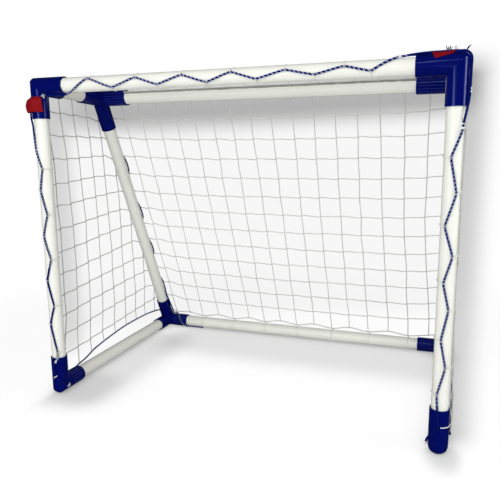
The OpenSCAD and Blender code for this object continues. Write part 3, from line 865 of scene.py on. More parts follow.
def loop_line(sizes, place_on, place, start, end, reach=LOOP_RADIUS, lean=0.0):
    """A thread round a tube from one angle to another, in degrees."""
    count = max(3, math.ceil(abs(end - start) / LOOP_DEGREES))
    out = []
    for k in range(count + 1):
        share = k / count
        angle = math.radians(start + (end - start) * share)
        out.append(place_on(sizes, place + lean * share, angle, reach))
    return out


def cord_eye(sizes, place_on, place, angle):
    """The small eye of thread that holds a cord on a tube: it passes over the cord."""
    out = []
    for k in range(EYE_POINTS + 1):
        t = math.pi * k / EYE_POINTS
        aside = angle + EYE_SPREAD * math.cos(t) / ON_TUBE
        out.append(place_on(sizes, place, aside, LOOP_RADIUS + EYE_LIFT * math.sin(t)))
    return out


def build_loops(sizes, threads, dice):
    """The net's threads that go round the crossbar, the posts and the back base bar."""
    half = sizes.net_thread / 2

    def held(name, place_on, length, zigzag, ends, half, reach=LOOP_RADIUS):
        strands, places = [], []
        for percent, degrees in zigzag:
            place = percent / 100
            end = ends[1] if degrees > 0 else ends[0]
            lean = shaken(dice, LOOP_LEAN) / length
            loop = loop_line(sizes, place_on, place, degrees, end, reach, lean)
            eye = cord_eye(sizes, place_on, place, math.radians(degrees))
            tip = math.radians(degrees) + math.copysign(EYE_WIDTH / ON_TUBE, degrees)
            places.append((place_on(sizes, place, tip, LOOP_RADIUS + LOOP_KNOT_LIFT), up(1)))
            last = end + math.copysign(TAIL_DEGREES, end)
            tail = loop_line(sizes, place_on, place + lean, end, last, reach + 0.001)
            strands += [(loop, half, 0), (eye, half * EYE_THICKNESS, 0), ([loop[-1], *tail], half, 0)]
        if place_on == by_crossbar:
            # The selvage runs along under the crossbar's back, slack between the loops, with a thick dark
            # strand beside it as painted shade
            for degrees, off, thickness, finish in SELVAGE_AND_SHADE_STRAND:
                hem = []
                for k in range(SELVAGE_POINTS + 1):
                    angle = math.radians(degrees + shaken(dice, EDGE_WANDER))
                    share = SELVAGE_FROM + SELVAGE_LENGTH * k / SELVAGE_POINTS
                    hem.append(place_on(sizes, share, angle, LOOP_RADIUS + off))
                strands.append((eased(hem, NET_STEP), half * thickness, finish))
        mesh = round_strands(name + "_loops", strands, threads)
        knots(mesh, places, dice, LOOP_KNOT)
        finished(name + "_loops", mesh, threads, name + "_net_loops")

    width = 2 * sizes.half_width
    thin = half * BAR_LOOP_THICKNESS
    held("crossbar", by_crossbar, width, CROSSBAR_ZIGZAG, ROUND_BAR, thin, BAR_LOOP_RADIUS)
    held("left_post", by_post(LEFT), GOAL_HEIGHT, LEFT_POST_ZIGZAG, ROUND_POST, half)
    held("right_post", by_post(RIGHT), GOAL_HEIGHT, RIGHT_POST_ZIGZAG, ROUND_POST, half)
    strands, places = [], []
    for across in RING_PLACES:
        place = across / width
        lean = shaken(dice, RING_LEAN) / width
        strands.append((loop_line(sizes, by_back_bar, place, *RING_ANGLES, lean=lean), half, 0))
        top = by_back_bar(sizes, place, RING_KNOT_ANGLE, LOOP_RADIUS + RING_KNOT_LIFT)
        places.append((top, Vector((1, 0, 0))))
    mesh = round_strands("back_bar_rings", strands)
    knots(mesh, places, dice, RING_KNOT)
    finished("back_bar_rings", mesh, threads, "back_bar_net_rings")


# The cords


def cord_routes(sizes):
    """Each cord's line, by the name of its CAD node."""
    width = 2 * sizes.half_width

    def laced(place_on, length, start, zigzag, end, bend=CORD_BEND):
        on_tube = [[place, degrees, ON_TUBE] for place, degrees in zigzag]
        return wound(sizes, place_on, length, start + on_tube + end, CORD_STEP, bend)

    over = laced(by_crossbar, width, CROSSBAR_START, CROSSBAR_ZIGZAG, CROSSBAR_END, BAR_CORD_BEND)
    down = wound(sizes, by_post(RIGHT), GOAL_HEIGHT, DOWN_CORNER, CORD_STEP)
    round_corner = [top_corner(sizes, RIGHT) + Vector((x, 0, z)) for x, z in OVER_CORNER]
    bridge = eased([over[-3], over[-1], *round_corner, down[0], down[3]], CORD_STEP)
    left = laced(by_post(LEFT), GOAL_HEIGHT, LEFT_POST_START, LEFT_POST_ZIGZAG, LEFT_POST_END)
    right = laced(by_post(RIGHT), GOAL_HEIGHT, RIGHT_POST_START, RIGHT_POST_ZIGZAG, RIGHT_POST_END)
    routes = {
        "crossbar_lacing": over[:-3] + bridge + down[4:],
        "left_post_lacing": left,
        "right_post_lacing": right,
    }
    for side, name in ((LEFT, "left_strut_lacing"), (RIGHT, "right_strut_lacing")):
        routes[name] = laced(by_strut(side), BACK_RUN.length, [], STRUT_ZIGZAG, STRUT_END)
    tail = wound(sizes, by_back_bar, width, TAIL, CORD_STEP)
    strut = routes["left_strut_lacing"]
    bridge = eased([strut[-2], strut[-1], tail[0], tail[1]], CORD_STEP)
    routes["left_strut_lacing"] = strut[:-2] + bridge + tail[2:]
    for side, name in ((LEFT, "left_hem_cord"), (RIGHT, "right_hem_cord")):
        line = []
        for percent, height, out in HEM:
            x = side * (sizes.half_width + out)
            line.append(Vector((x, FRONT + percent / 100 * BASE_DEPTH, BASE_Z + height)))
        routes[name] = eased(line, CORD_STEP)
    return routes


def doubled(sizes):
    """The cord's second turn over the right corner, on the fitting under the first."""
    over = wound(sizes, by_crossbar, 2 * sizes.half_width, DOUBLED_OVER, CORD_STEP)
    down = wound(sizes, by_post(RIGHT), GOAL_HEIGHT, DOUBLED_DOWN, CORD_STEP)
    bend = []
    for angle in DOUBLED_BEND:
        out = UNDER_CORD * Vector((math.sin(angle), DOUBLED_LEAN, math.cos(angle)))
        bend.append(top_corner(sizes, RIGHT) + out)
    return over[:-1] + eased([over[-1], *bend, down[0]], CORD_STEP) + down[1:]


def frayed(place, fan, radius, dice):
    """Loose strands that fan out from a place: the way they go, how widely, how long and how many."""
    way, spread, length, count = fan
    away = Vector(way)
    strands = []
    for _ in range(count):
        lean = any_way(dice, spread)
        start = place + lean * FRAY_ROOT
        reach = length * dice.uniform(*FRAY_LENGTHS)
        bow = any_way(dice, FRAY_BOW) * reach
        tip = start + (away + lean * FRAY_LEAN).normalized() * reach
        strands.append((eased([start, start.lerp(tip, FRAY_MIDDLE) + bow, tip], FRAY_STEP), radius, 0))
    return strands


def build_cords(sizes, finishes, worn_finishes, dice):
    for name, route in cord_routes(sizes).items():
        on_crossbar = name == "crossbar_lacing"
        spacing = sizes.fleck_pitch * (1 if on_crossbar else CLOSER_FLECKS)
        strands = braided(route, sizes.cord / 2, sizes.braid_pitch, spacing, FLECKED.get(name))
        if on_crossbar:
            strands += braided(doubled(sizes), sizes.cord / 2, sizes.braid_pitch)
            out, ahead, above = CORD_TIP
            tip = Vector((sizes.half_width + out, FRONT + ahead, TOP_Z + above))
            strands += frayed(tip, CORD_FAN, CORD_FRAY, dice)
        chosen = finishes if on_crossbar else worn_finishes
        mesh = round_strands(name + "_braid", strands, chosen)
        finished(name + "_braid", mesh, chosen, name)


def nearest(route, point):
    return min(range(len(route)), key=lambda i: (route[i] - point).length)


def wrap_round(route, at, turns, radius, pitch, dice):
    """Turns of tying thread round a cord."""
    last = len(route) - 1
    ahead = (route[min(at + 2, last)] - route[max(at - 2, 0)]).normalized()
    side = ahead.orthogonal().normalized()
    over = ahead.cross(side)
    out = []
    for k in range(turns * TIE_POINTS + 1):
        angle = math.tau * k / TIE_POINTS
        reach = radius + TWINE * 0.5 + dice.uniform(0, TIE_WANDER)
        slide = pitch * (k / TIE_POINTS - turns / 2)
        out.append(route[at] + ahead * slide + (side * math.cos(angle) + over * math.sin(angle)) * reach)
    return out


# Where the twine is tied: cord, what it lies along, share of that length, degrees round it, distance
TIES = [
    ("crossbar_lacing", by_crossbar, 0.885, 72, ON_TUBE),
    ("crossbar_lacing", by_post(RIGHT), 0.9425, 80, ON_FITTING),
    ("crossbar_lacing", by_post(RIGHT), 0.935, 76, ON_FITTING),
    ("right_post_lacing", by_post(RIGHT), 0.855, 46.6, ON_TUBE),
    ("left_post_lacing", by_post(LEFT), 0.04, -8, ON_FITTING),
    ("left_post_lacing", by_post(LEFT), 0.0, -90, ON_FITTING),
    ("right_post_lacing", by_post(RIGHT), 0.0, -88, ON_FITTING),
    ("left_strut_lacing", by_strut(LEFT), 0.975, 40, ON_FITTING),
    ("right_strut_lacing", by_strut(RIGHT), 0.98, 36, ON_FITTING),
]
TUFTS = (0.005, 0.013, 0.017, 0.019)  # grey thread ends on the right corner: inside the post's axis
TUFT_BACK = 0.001  # behind the crossbar's axis
TUFT_HEIGHT = 0.0255  # above it


def build_ties(sizes, finish, grey, dice):
    """White twine tied round the cords, with loose ends, and a string round the right foot."""
    routes = cord_routes(sizes)
    strands = []
    for name, place_on, place, degrees, reach in TIES:
        route = routes[name]
        at = nearest(route, place_on(sizes, place, math.radians(degrees), reach))
        at = max(2, min(len(route) - 3, at))
        turns = 2 if "left" in name else 4
        wrap = wrap_round(route, at, turns, sizes.cord / 2, TIE_PITCH, dice)
        strands.append((wrap, TWINE / 2, 0))
        for start in (wrap[0], wrap[-1]):
            away = (start - route[at]).normalized()
            loose = [start]
            for _ in range(4):
                loose.append(loose[-1] + away * LOOSE_STEP + any_way(dice, LOOSE_WANDER))
            strands.append((eased(loose, 0.001), TWINE / 2.4, 0))
    string = loop_line(sizes, by_post(RIGHT), place=0.057, start=9, end=96, reach=0.0201)
    strands.append((string, TWINE, 0))
    # Thin white thread spirals down the left post's cord onto the fitting
    route = routes["left_post_lacing"]
    at = nearest(route, by_post(LEFT)(sizes, *SPIRAL_AT, ON_FITTING))
    spiral = wrap_round(route, at, SPIRAL_TURNS, sizes.cord / 2, SPIRAL_PITCH, dice)
    strands.append((spiral, TWINE / 2, 0))
    strands += frayed(spiral[-1], SPIRAL_FOOT_FAN, TWINE_FRAY, dice)
    strands += frayed(spiral[0], SPIRAL_TOP_FAN, TWINE_FRAY, dice)
    # Loose white ends at the left corner, where the crossbar's cord starts
    knot = by_crossbar(sizes, *LEFT_KNOT, ON_FITTING)
    for fan in LEFT_KNOT_FANS:
        strands += frayed(knot, fan, TWINE_FRAY, dice)
    for inside in TUFTS:
        root = Vector((sizes.half_width - inside, FRONT + TUFT_BACK, TOP_Z + TUFT_HEIGHT))
        tuft = frayed(root, TUFT_FAN, TWINE / 2, dice)
        strands += [(points, radius, 1) for points, radius, _ in tuft]
    mesh = round_strands("tying_twine", strands, [finish, grey])
    finished("tying_twine", mesh, [finish, grey], "twine_turns")


# The red tabs

RIBBON_THICKNESS = 0.0009
RIBBON_COLUMNS = 10  # faces from one edge of a ribbon to the other
LEFT_STATIONS = 30
RIGHT_STATIONS = 20
LEFT_TAB_START = -43  # degrees round the post, at its upper edge
LEFT_TAB_SLANT = -9  # and so much further round at its lower edge
LEFT_TAB_END = 110
LEFT_TAB_TOP = 0.0222  # below the crossbar's axis
LEFT_TAB_CUT = 0.0335  # from its upper to its lower edge
BULGE_AT = math.radians(62)  # where it stands furthest off
SEAT = 0.0199  # its distance from the axis where it lies on the fitting
OFF_SEAT = 0.2  # share of its width in which it rises from there onto the cord
OVER_CORD = 0.0004  # how far it lies clear of the cord
LEFT_TAB_WAVE = 0.0003  # how far it wanders at each station
BELLY_FROM = 0.03  # the part of an arch that it follows across its width
BELLY_LENGTH = 0.72
LEFT_TAB_SLACK = 0.0062  # how far it stands off at its bulge
LEFT_TAB_CREASE = 0.0007  # height of its creases
LEFT_TAB_SAG = 0.0012  # how much lower it hangs at its bulge
RIGHT_TAB_FROM = 0.004  # inside the post's axis
RIGHT_TAB_RUN = 0.038  # its length along the crossbar
RIGHT_TAB_SLOPE = math.tan(math.radians(14))  # of its lower edge
RIGHT_TAB_LOW = 0.0112  # the lower edge's height above the crossbar's axis
RIGHT_TAB_LOW_AT = 0.0375  # so far inside the post's axis
RIGHT_TAB_LOW_REACH = 0.0194  # and its distance from the crossbar's axis
RIGHT_TAB_WAVE = 0.0002  # how far it wanders at each station
RIGHT_TAB_END = math.radians(97)  # round the crossbar
RIGHT_SEAT = 0.0197  # its distance from the axis
LOWER_CUT = 0.004  # its end is cut aslant: so much shorter at its lower edge
UPPER_CUT = 0.003  # and longer at its upper
UNDER_CORDS = (math.radians(62), math.radians(94))  # where it rises towards the cords
RIGHT_TAB_LIFT = 0.0028  # and how far
RIGHT_TAB_CREASE = 0.0003


def ribbon(name, stations, finish, node):
    """A cut of ribbon through stations: each gives the line across it, and then it gets its thickness."""
    form = bmesh.new()
    last = len(stations) - 1
    bmesh.ops.create_grid(form, x_segments=last, y_segments=RIBBON_COLUMNS, size=0.5)
    for vert in form.verts:
        i = round((vert.co.x + 0.5) * last)
        j = round((vert.co.y + 0.5) * RIBBON_COLUMNS)
        vert.co = stations[i](j / RIBBON_COLUMNS)
    bmesh.ops.recalc_face_normals(form, faces=form.faces)
    bmesh.ops.solidify(form, geom=form.faces[:], thickness=RIBBON_THICKNESS)
    bmesh.ops.recalc_face_normals(form, faces=form.faces)
    for face in form.faces:
        face.smooth = True
    piece = finished(name, mesh_of(form, name), [finish], node)


def build_tabs(sizes, finish, dice):
    """The left tab goes round the corner over the cord; the right one lies under the cords."""
    over_cord = ON_FITTING + sizes.cord / 2 + OVER_CORD

    def left_station(k):
        wave = shaken(dice, LEFT_TAB_WAVE)

        def place(v):
            start = LEFT_TAB_START + LEFT_TAB_SLANT * v
            angle = math.radians(start + (LEFT_TAB_END - start) * k / LEFT_STATIONS)
            bulge = max(0.0, math.cos(angle - BULGE_AT)) ** 2
            seat = SEAT + (over_cord - SEAT) * eased_step(0.0, OFF_SEAT, v)
            slack = LEFT_TAB_SLACK * math.sin(math.pi * (BELLY_FROM + BELLY_LENGTH * v)) * bulge
            crease = LEFT_TAB_CREASE * math.sin(6 * angle + 5 * v) * bulge
            reach = seat + slack + crease + wave
            drop = LEFT_TAB_TOP + LEFT_TAB_CUT * v + LEFT_TAB_SAG * bulge
            out = Vector((-reach * math.sin(angle), -reach * math.cos(angle), -drop))
            return top_corner(sizes, LEFT) + out

        return place

    def right_station(k):
        u = k / RIGHT_STATIONS
        along = RIGHT_TAB_FROM + RIGHT_TAB_RUN * u
        height = RIGHT_TAB_LOW + (RIGHT_TAB_LOW_AT - along) * RIGHT_TAB_SLOPE
        lowest = math.asin(min(0.995, height / RIGHT_TAB_LOW_REACH))
        wave = shaken(dice, RIGHT_TAB_WAVE)

        def place(v):
            angle = lowest + (RIGHT_TAB_END - lowest) * v
            lift = RIGHT_TAB_LIFT * eased_step(*UNDER_CORDS, angle)
            reach = RIGHT_SEAT + wave + RIGHT_TAB_CREASE * math.sin(9 * angle + 5 * u) + lift
            cut = along + LOWER_CUT * u * (v - 1) + UPPER_CUT * u * v
            out = Vector((-cut, -reach * math.cos(angle), reach * math.sin(angle)))
            return top_corner(sizes, RIGHT) + out

        return place

    stations = [left_station(k) for k in range(LEFT_STATIONS + 1)]
    ribbon("left_tab_ribbon", stations, finish, "left_red_tab")
    stations = [right_station(k) for k in range(RIGHT_STATIONS + 1)]
    ribbon("right_tab_ribbon", stations, finish, "right_red_tab")


# Tubes and moulded corners

TUBES = [
    "crossbar",
    "left_post",
    "right_post",
    "top_back_bar",
    "left_top_side_bar",
    "right_top_side_bar",
    "left_strut",
    "right_strut",
    "left_base_bar",
    "right_base_bar",
    "back_base_bar",
]
CORNERS = [
    "left_top_front_corner",
    "right_top_front_corner",
    "left_top_back_corner",
    "right_top_back_corner",
    "left_base_back_corner",
    "right_base_back_corner",
    "left_base_elbow",
    "right_base_elbow",
]
RIB_HIGHLIGHT_NAVY = (0.022, 0.030, 0.165)  # painted highlight: a lighter navy for the ribs, as if they catch the light
NAVY_GLOSS = (0.45, 0.55, 1.0)  # tint of the moulded plastic's gloss
RIB_COUNT = 18
RIB_START = math.radians(30)
RIB_REACH = 0.0189  # from the socket's axis
RIB_RADIUS = 0.0005
RIB_FROM = 0.026  # from where the corner's axes meet
SHARP = math.radians(50)  # edges that the bevel rounds
CREASE = math.radians(21)  # edges that stay crisp after it


def socket_ribs(sizes):
    """The ribbed sockets, by corner: where each starts, which way it runs, and where its ribs end."""
    out = {}
    for side, word in ((LEFT, "left"), (RIGHT, "right")):
        across = Vector((side * sizes.half_width, 0, 0))
        inward = Vector((-side, 0, 0))
        out[word + "_top_back_corner"] = (across + RIDGE, inward, 0.0815)
        out[word + "_base_back_corner"] = (across + HEEL, inward, 0.0715)
        foot = across + Vector((0, FRONT, BASE_Z))
        out[word + "_base_elbow"] = (foot, Vector((0, 1, 0)), 0.0705)
    return out


def ribs(start, along, end):
    """Fine moulded ribs along a socket, all round it."""
    out = []
    side = Vector((0, -1, 0)) if abs(along.x) > 0.5 else Vector((math.copysign(1, -start.x), 0, 0))
    for k in range(RIB_COUNT):
        angle = RIB_START + math.tau * k / RIB_COUNT
        off = (side * math.cos(angle) + up(1) * math.sin(angle)) * RIB_REACH
        # Finish 1 is the lighter navy: a painted highlight on the ribs
        out.append(([start + off + along * RIB_FROM, start + off + along * end], RIB_RADIUS, 1))
    return out


def fold(edge):
    """The angle between an edge's two faces."""
    return edge.calc_face_angle(0) if len(edge.link_faces) == 2 else 0


def build_corner(name, node, finishes, rim, ribbed):
    """A moulded corner: a copy of the CAD part with its sharp rims rounded."""
    form = bmesh.new()
    form.from_mesh(node.data)
    bmesh.ops.remove_doubles(form, verts=form.verts, dist=0.00001)
    form.normal_update()
    sharp = [edge for edge in form.edges if fold(edge) > SHARP]
    bmesh.ops.bevel(
        form,
        geom=sharp,
        offset=rim,
        segments=2,
        profile=0.5,
        affect="EDGES",
        material=-1,
        clamp_overlap=True,
    )
    bmesh.ops.recalc_face_normals(form, faces=form.faces)
    for face in form.faces:
        face.smooth = True
    for edge in form.edges:
        if fold(edge) > CREASE:
            edge.smooth = False
    if ribbed:
        extra = round_strands("ribs", ribs(*ribbed), finishes)
        form.from_mesh(extra)
        bpy.data.meshes.remove(extra)
    mesh = mesh_of(form, name + "_moulding")
    finished(name + "_moulding", mesh, finishes, name)


# Sizes and colours that a user may change


def size_setting(name, description, default):
    return bpy.props.FloatProperty(name=name, description=description, default=default, unit="LENGTH")


def colour_setting(name, description, default):
    return bpy.props.FloatVectorProperty(
        name=name, description=description, default=default, subtype="COLOR", size=3, min=0, max=1
    )


class GoalSizes(bpy.types.PropertyGroup):
    half_width: size_setting("Half width", "Half the distance between the posts' axes", 0.4375)
    net_thread: size_setting("Net thread", "Thickness of the net's thread", 0.0024)
    cord: size_setting("Cord", "Thickness of the braided cord", 0.0046)
    braid_pitch: size_setting("Braid pitch", "Length of cord in which a strand goes once round", 0.0142)
    fleck_pitch: size_setting("Fleck spacing", "Between two pale flecks of the cord", 0.0087)
    knot_step: size_setting("Knot step", "How far a row of the net shifts at each side of a knot", 0.0013)
    rim: size_setting("Rim", "Rounding of the moulded corners' rims", 0.0007)


class GoalColours(bpy.types.PropertyGroup):
    tube: colour_setting("Tubes", "Colour of the tubes", (0.805, 0.815, 0.752))
    fitting: colour_setting("Corners", "Colour of the moulded corners", (0.0006, 0.0030, 0.102))
    net: colour_setting("Net", "Colour of the net's thread", (0.60, 0.61, 0.57))
    cord: colour_setting("Cord", "Colour of the braided cord", (0.0012, 0.007, 0.125))
    tracer: colour_setting("Tracer", "Colour of the pale strands in the cord", (0.52, 0.58, 0.76))
    twine: colour_setting("Twine", "Colour of the tying twine", (0.85, 0.86, 0.86))
    tab: colour_setting("Tabs", "Colour of the ribbon tabs", (0.212, 0.005, 0.008))


def only_once(name):
    """Stops an operator whose pieces are there already."""
    if name in bpy.data.objects:
        raise RuntimeError(name + " is there already")


class GOAL_OT_tubes(bpy.types.Operator):
    """Finish the tubes of the frame"""

    bl_idname = "goal.tubes"
    bl_label = "Tubes"

    def execute(self, context):
        white = context.scene.goal_colours.tube
        finish = plastic("tube_white", white, roughness=0.36, gloss=0.5, spread=0.012)
        for name in TUBES:
            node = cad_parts[name]
            node.data.materials.clear()
            node.data.materials.append(finish)
        return {"FINISHED"}


class GOAL_OT_corners(bpy.types.Operator):
    """Build the moulded corners with rounded rims"""

    bl_idname = "goal.corners"
    bl_label = "Corners"

    def execute(self, context):
        only_once(CORNERS[0] + "_moulding")
        sizes = context.scene.goal_sizes
        navy = context.scene.goal_colours.fitting
        finish = plastic("fitting_navy", navy, roughness=0.17, gloss=0.36, spread=0.06, tint=NAVY_GLOSS)
        # The ribs take a lighter navy: a painted highlight
        edges = plastic("fitting_rib_highlight", RIB_HIGHLIGHT_NAVY, roughness=0.3, gloss=0.3, spread=0.1, tint=NAVY_GLOSS)
        ribbed = socket_ribs(sizes)
        for name in CORNERS:
            build_corner(name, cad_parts[name], [finish, edges], sizes.rim, ribbed.get(name))
        return {"FINISHED"}


class GOAL_OT_net(bpy.types.Operator):
    """Build the four panels of the net and the loops that tie it to the frame"""

    bl_idname = "goal.net"
    bl_label = "Net"

    def execute(self, context):
        only_once("back_net_threads")
        sizes = context.scene.goal_sizes
        white = context.scene.goal_colours.net
        dice = random.Random(11)
        thread = fibre("net_thread", white, roughness=0.75, spread=0.08)
        build_back_net(sizes, thread, dice)
        build_roof_net(sizes, thread, dice)
        # The side nets take a darker copy of the same thread: painted shade, as they are seen on their
        # shadow side
        thread = fibre("net_thread_side_painted_shade", shade(white, 0.86), roughness=0.75, spread=0.1)
        for side in (LEFT, RIGHT):
            build_side_net(sizes, side, thread, dice)
        # The loops and the rings take a lighter copy of the same thread: painted light
        loops = fibre("net_thread_loops_painted_light", shade(white, 1.25), roughness=0.75, spread=0.1)
        # The selvage under the crossbar takes a darker copy of the same thread: painted shade
        edge = fibre("net_thread_edge_painted_shade", shade(white, 0.85), roughness=0.75, spread=0.05)
        # A dark copy of the thread for the thick strand behind the crossbar: painted shade in the gap
        painted_shade_strand = fibre("net_painted_shade_strand", shade(white, 0.4), roughness=0.8, spread=0.2)
        build_loops(sizes, [loops, edge, painted_shade_strand], dice)
        return {"FINISHED"}


class GOAL_OT_cords(bpy.types.Operator):
    """Build the braided cords that lace the net to the frame"""

    bl_idname = "goal.cords"
    bl_label = "Cords"

    def execute(self, context):
        only_once("crossbar_lacing_braid")
        colours = context.scene.goal_colours
        dull = shade(colours.tracer, TRACER_WORN)
        navy = fibre("cord_navy", colours.cord, roughness=0.5, spread=0.15, gloss=0.03, sheen=0.0)
        pale = fibre("cord_tracer", colours.tracer, roughness=0.55, spread=0.08)
        worn = fibre("cord_tracer_worn", dull, roughness=0.55, spread=0.3, gloss=0.08, sheen=0.0)
        build_cords(context.scene.goal_sizes, [navy, pale], [navy, worn], random.Random(23))
        return {"FINISHED"}


class GOAL_OT_ties(bpy.types.Operator):
    """Build the twine that ties the cords' ends"""

    bl_idname = "goal.ties"
    bl_label = "Ties"

    def execute(self, context):
        only_once("tying_twine")
        colours = context.scene.goal_colours
        finish = fibre("twine_white", colours.twine, roughness=0.35, spread=0.04, gloss=0.3, sheen=0.2)
        grey = fibre("thread_ends", shade(colours.net, 0.16), roughness=0.8, spread=0.2)
        build_ties(context.scene.goal_sizes, finish, grey, random.Random(5))
        return {"FINISHED"}


class GOAL_OT_tabs(bpy.types.Operator):
    """Build the red ribbon tabs on the top corners"""

    bl_idname = "goal.tabs"
    bl_label = "Tabs"

    def execute(self, context):
        only_once("left_tab_ribbon")
        red = context.scene.goal_colours.tab
        finish = fibre("ribbon_red", red, roughness=0.6, spread=0.14, gloss=0.05, sheen=0.0)
        build_tabs(context.scene.goal_sizes, finish, random.Random(3))
        return {"FINISHED"}


FLOOR_RADIUS = 1.6
FLOOR_FADE = (0.45, 0.97)  # shares of the radius between which the floor fades out
FLOOR_TONE = 0.2  # the part of the floor's white that takes the goal's shadows
FLOOR_CLEAR = 0.85  # and the part that lets the white surround through
FLOOR_BOUNCE = 0.85  # how pale the paper is where it lights the goal
SHADE_REACH = 0.06  # how far from the goal the floor is shaded by it
SHADE_LEAN = (-0.15, 0.4, 0.9)
SHADE_DEPTH = 0.4
SURROUND = 0.25  # how strongly the white surround lights the goal
GLOSS_ROOM = 0.025  # what the moulded plastic mirrors of it
# Name, place, what it points at, size, power
LAMPS = [
    ("left_lamp", (-0.45, -2.0, 0.75), (-0.2, -0.1, 0.4), (0.75, 1.1), 12.5),
    ("right_lamp", (2.0, -0.35, 0.75), (0.4, -0.2, 0.4), (0.5, 1.1), 13),
    ("front_lamp", (0.4, -2.3, 1.7), (0, -0.2, 0.45), (1.8, 0.4), 8.5),
    ("strip_lamp", (0.4, -2.3, 2.05), (0, -0.2, 0.45), (1.8, 0.08), 8.5),
    ("low_lamp", (0.4, -2.3, 0.55), (0, -0.2, 0.35), (1.4, 0.3), 12),
    ("top_lamp", (0.1, -0.8, 2.6), (0, 0, 0.2), (1.6, 1.2), 6.5),
    ("back_lamp", (0.3, 2.4, 1.5), (0, 0.2, 0.4), (1.8, 0.8), 15),
]
MATT_LAMPS = ("front_lamp", "low_lamp", "top_lamp", "back_lamp")  # they fill without a highlight
# Directions that the surround's painted shadows are measured along
BY_LEFT_POST = (0.774, 0.633, 0.0)
BY_RIGHT_POST = (1.0, 0.005, 0.0)
UPWARD = (-0.0376, -0.0135, 1.0)
AHEAD = (-0.338, 0.941, 0.0)
ALONG_X = (1.0, 0.0, 0.0)
ALONG_Y = (0.0, 1.0, 0.0)
BEHIND_GOAL = (AHEAD, (0.5, 0.75, 0, 1))
# Painted soft shadows of the surround: how much each takes away, and the soft steps along
# directions that bound it, as (direction, (from, to, share at from, share at to))
PAINTED_SHADOWS = [
    (0.53, [
        (UPWARD, (0.000, 0.070, 0, 1)),
        (UPWARD, (0.088, 0.112, 1, 0)),
        (BY_LEFT_POST, (0.0, 0.012, 0, 1)),
        (BY_LEFT_POST, (0.012, 0.13, 0.66, 1)),
        (BY_RIGHT_POST, (-0.004, 0.062, 1, 0)),
    ]),
    (0.40, [
        (BY_RIGHT_POST, (0.004, 0.014, 0, 1)),
        (BY_RIGHT_POST, (0.012, 0.085, 1, 0)),
        (UPWARD, (-0.50, -0.46, 0, 1)),
        (UPWARD, (-0.22, 0.03, 0.9, 1)),
        (UPWARD, (0.09, 0.15, 1, 0)),
    ]),
    (0.27, [
        (BY_LEFT_POST, (0.0, 0.010, 0, 1)),
        (BY_LEFT_POST, (0.012, 0.068, 1, 0)),
        (UPWARD, (-0.34, -0.30, 0, 1)),
        (UPWARD, (0.02, 0.07, 1, 0)),
    ]),
    (0.07, [
        (BY_LEFT_POST, (0.0, 0.012, 0, 1)),
        (BY_RIGHT_POST, (-0.012, 0.0, 1, 0)),
        (UPWARD, (-0.31, -0.27, 0, 1)),
        (UPWARD, (0.05, 0.09, 1, 0)),
    ]),
]
# The same painted shadows for the floor: in front of the back bar, beside the left bar and its foot, at the
# right foot
FLOOR_PAINTED_SHADOWS = [
    (0.23, [
        (ALONG_Y, (-0.06, 0.16, 0, 1)),
        (ALONG_Y, (0.27, 0.31, 1, 0)),
        (ALONG_X, (-0.46, -0.30, 0, 1)),
        (ALONG_X, (0.42, 0.46, 1, 0)),
    ]),
    (0.24, [
        (ALONG_X, (-0.47, -0.43, 0, 1)),
        (ALONG_X, (-0.38, -0.22, 1, 0)),
        (ALONG_Y, (-0.43, -0.27, 0, 1)),
        (ALONG_Y, (0.10, 0.30, 1, 0)),
    ]),
    (0.17, [
        (ALONG_X, (-0.49, -0.40, 0, 1)),
        (ALONG_X, (-0.38, -0.26, 1, 0)),
        (ALONG_Y, (-0.40, -0.28, 0, 1)),
        (ALONG_Y, (-0.22, -0.10, 1, 0)),
    ]),
    (0.26, [
        (ALONG_X, (0.39, 0.45, 0, 1)),
        (ALONG_X, (0.455, 0.50, 1, 0)),
        (ALONG_Y, (-0.40, -0.30, 0, 1)),
        (ALONG_Y, (-0.30, -0.22, 1, 0)),
    ]),
]

CAMERA_PLACE = (0.44256, -1.35605, 0.58646)
CAMERA_LENS = 41.02
CAMERA_SENSOR = 36
CAMERA_TURN = 19.7613  # degrees to the left of straight back
CAMERA_DIP = 10.4278
CAMERA_ROLL = 0.573


def soft_lamp(name, place, target, size, power):
    light = bpy.data.lights.new(name, "AREA")
    light.shape = "RECTANGLE"
    light.size, light.size_y = size
    light.energy = power
    lamp = bpy.data.objects.new(name, light)
    lamp.location = place
    lamp.rotation_euler = (Vector(target) - Vector(place)).to_track_quat("-Z", "Y").to_euler()
    lamp.visible_glossy = name not in MATT_LAMPS
    lamp.visible_camera = False
    bpy.context.scene.collection.objects.link(lamp)


def camera_only(nodes, links, seen, other):
    """A shader that the camera sees as one thing, and that lights the goal as another."""
    path = nodes.new("ShaderNodeLightPath")
    mix = nodes.new("ShaderNodeMixShader")
    links.new(path.outputs["Is Camera Ray"], mix.inputs["Fac"])
    links.new(other, mix.inputs[1])
    links.new(seen, mix.inputs[2])
    return mix.outputs["Shader"]


def graded(nodes, links, source, low, high, at_low, at_high):
    """Maps a value smoothly from one range to another."""
    ease = nodes.new("ShaderNodeMapRange")
    ease.interpolation_type = "SMOOTHSTEP"
    for key, value in (("From Min", low), ("From Max", high), ("To Min", at_low), ("To Max", at_high)):
        ease.inputs[key].default_value = value
    links.new(source, ease.inputs["Value"])
    return ease.outputs["Result"]


def product(nodes, links, first, second):
    if first is None:
        return second
    times = nodes.new("ShaderNodeMath")
    times.operation = "MULTIPLY"
    links.new(first, times.inputs[0])
    links.new(second, times.inputs[1])
    return times.outputs["Value"]


def shadow_painted(nodes, links, source, painted_shadows):
    """How bright a surround or a floor is, with painted soft shadows taken out of its white."""
    bright = None
    for amount, steps in painted_shadows:
        share = None
        for direction, stops in steps:
            dot = nodes.new("ShaderNodeVectorMath")
            dot.operation = "DOT_PRODUCT"
            dot.inputs[1].default_value = direction
            links.new(source, dot.inputs[0])
            share = product(nodes, links, share, graded(nodes, links, dot.outputs["Value"], *stops))
        bright = product(nodes, links, bright, graded(nodes, links, share, 0, 1, 1, 1 - amount))
    return bright


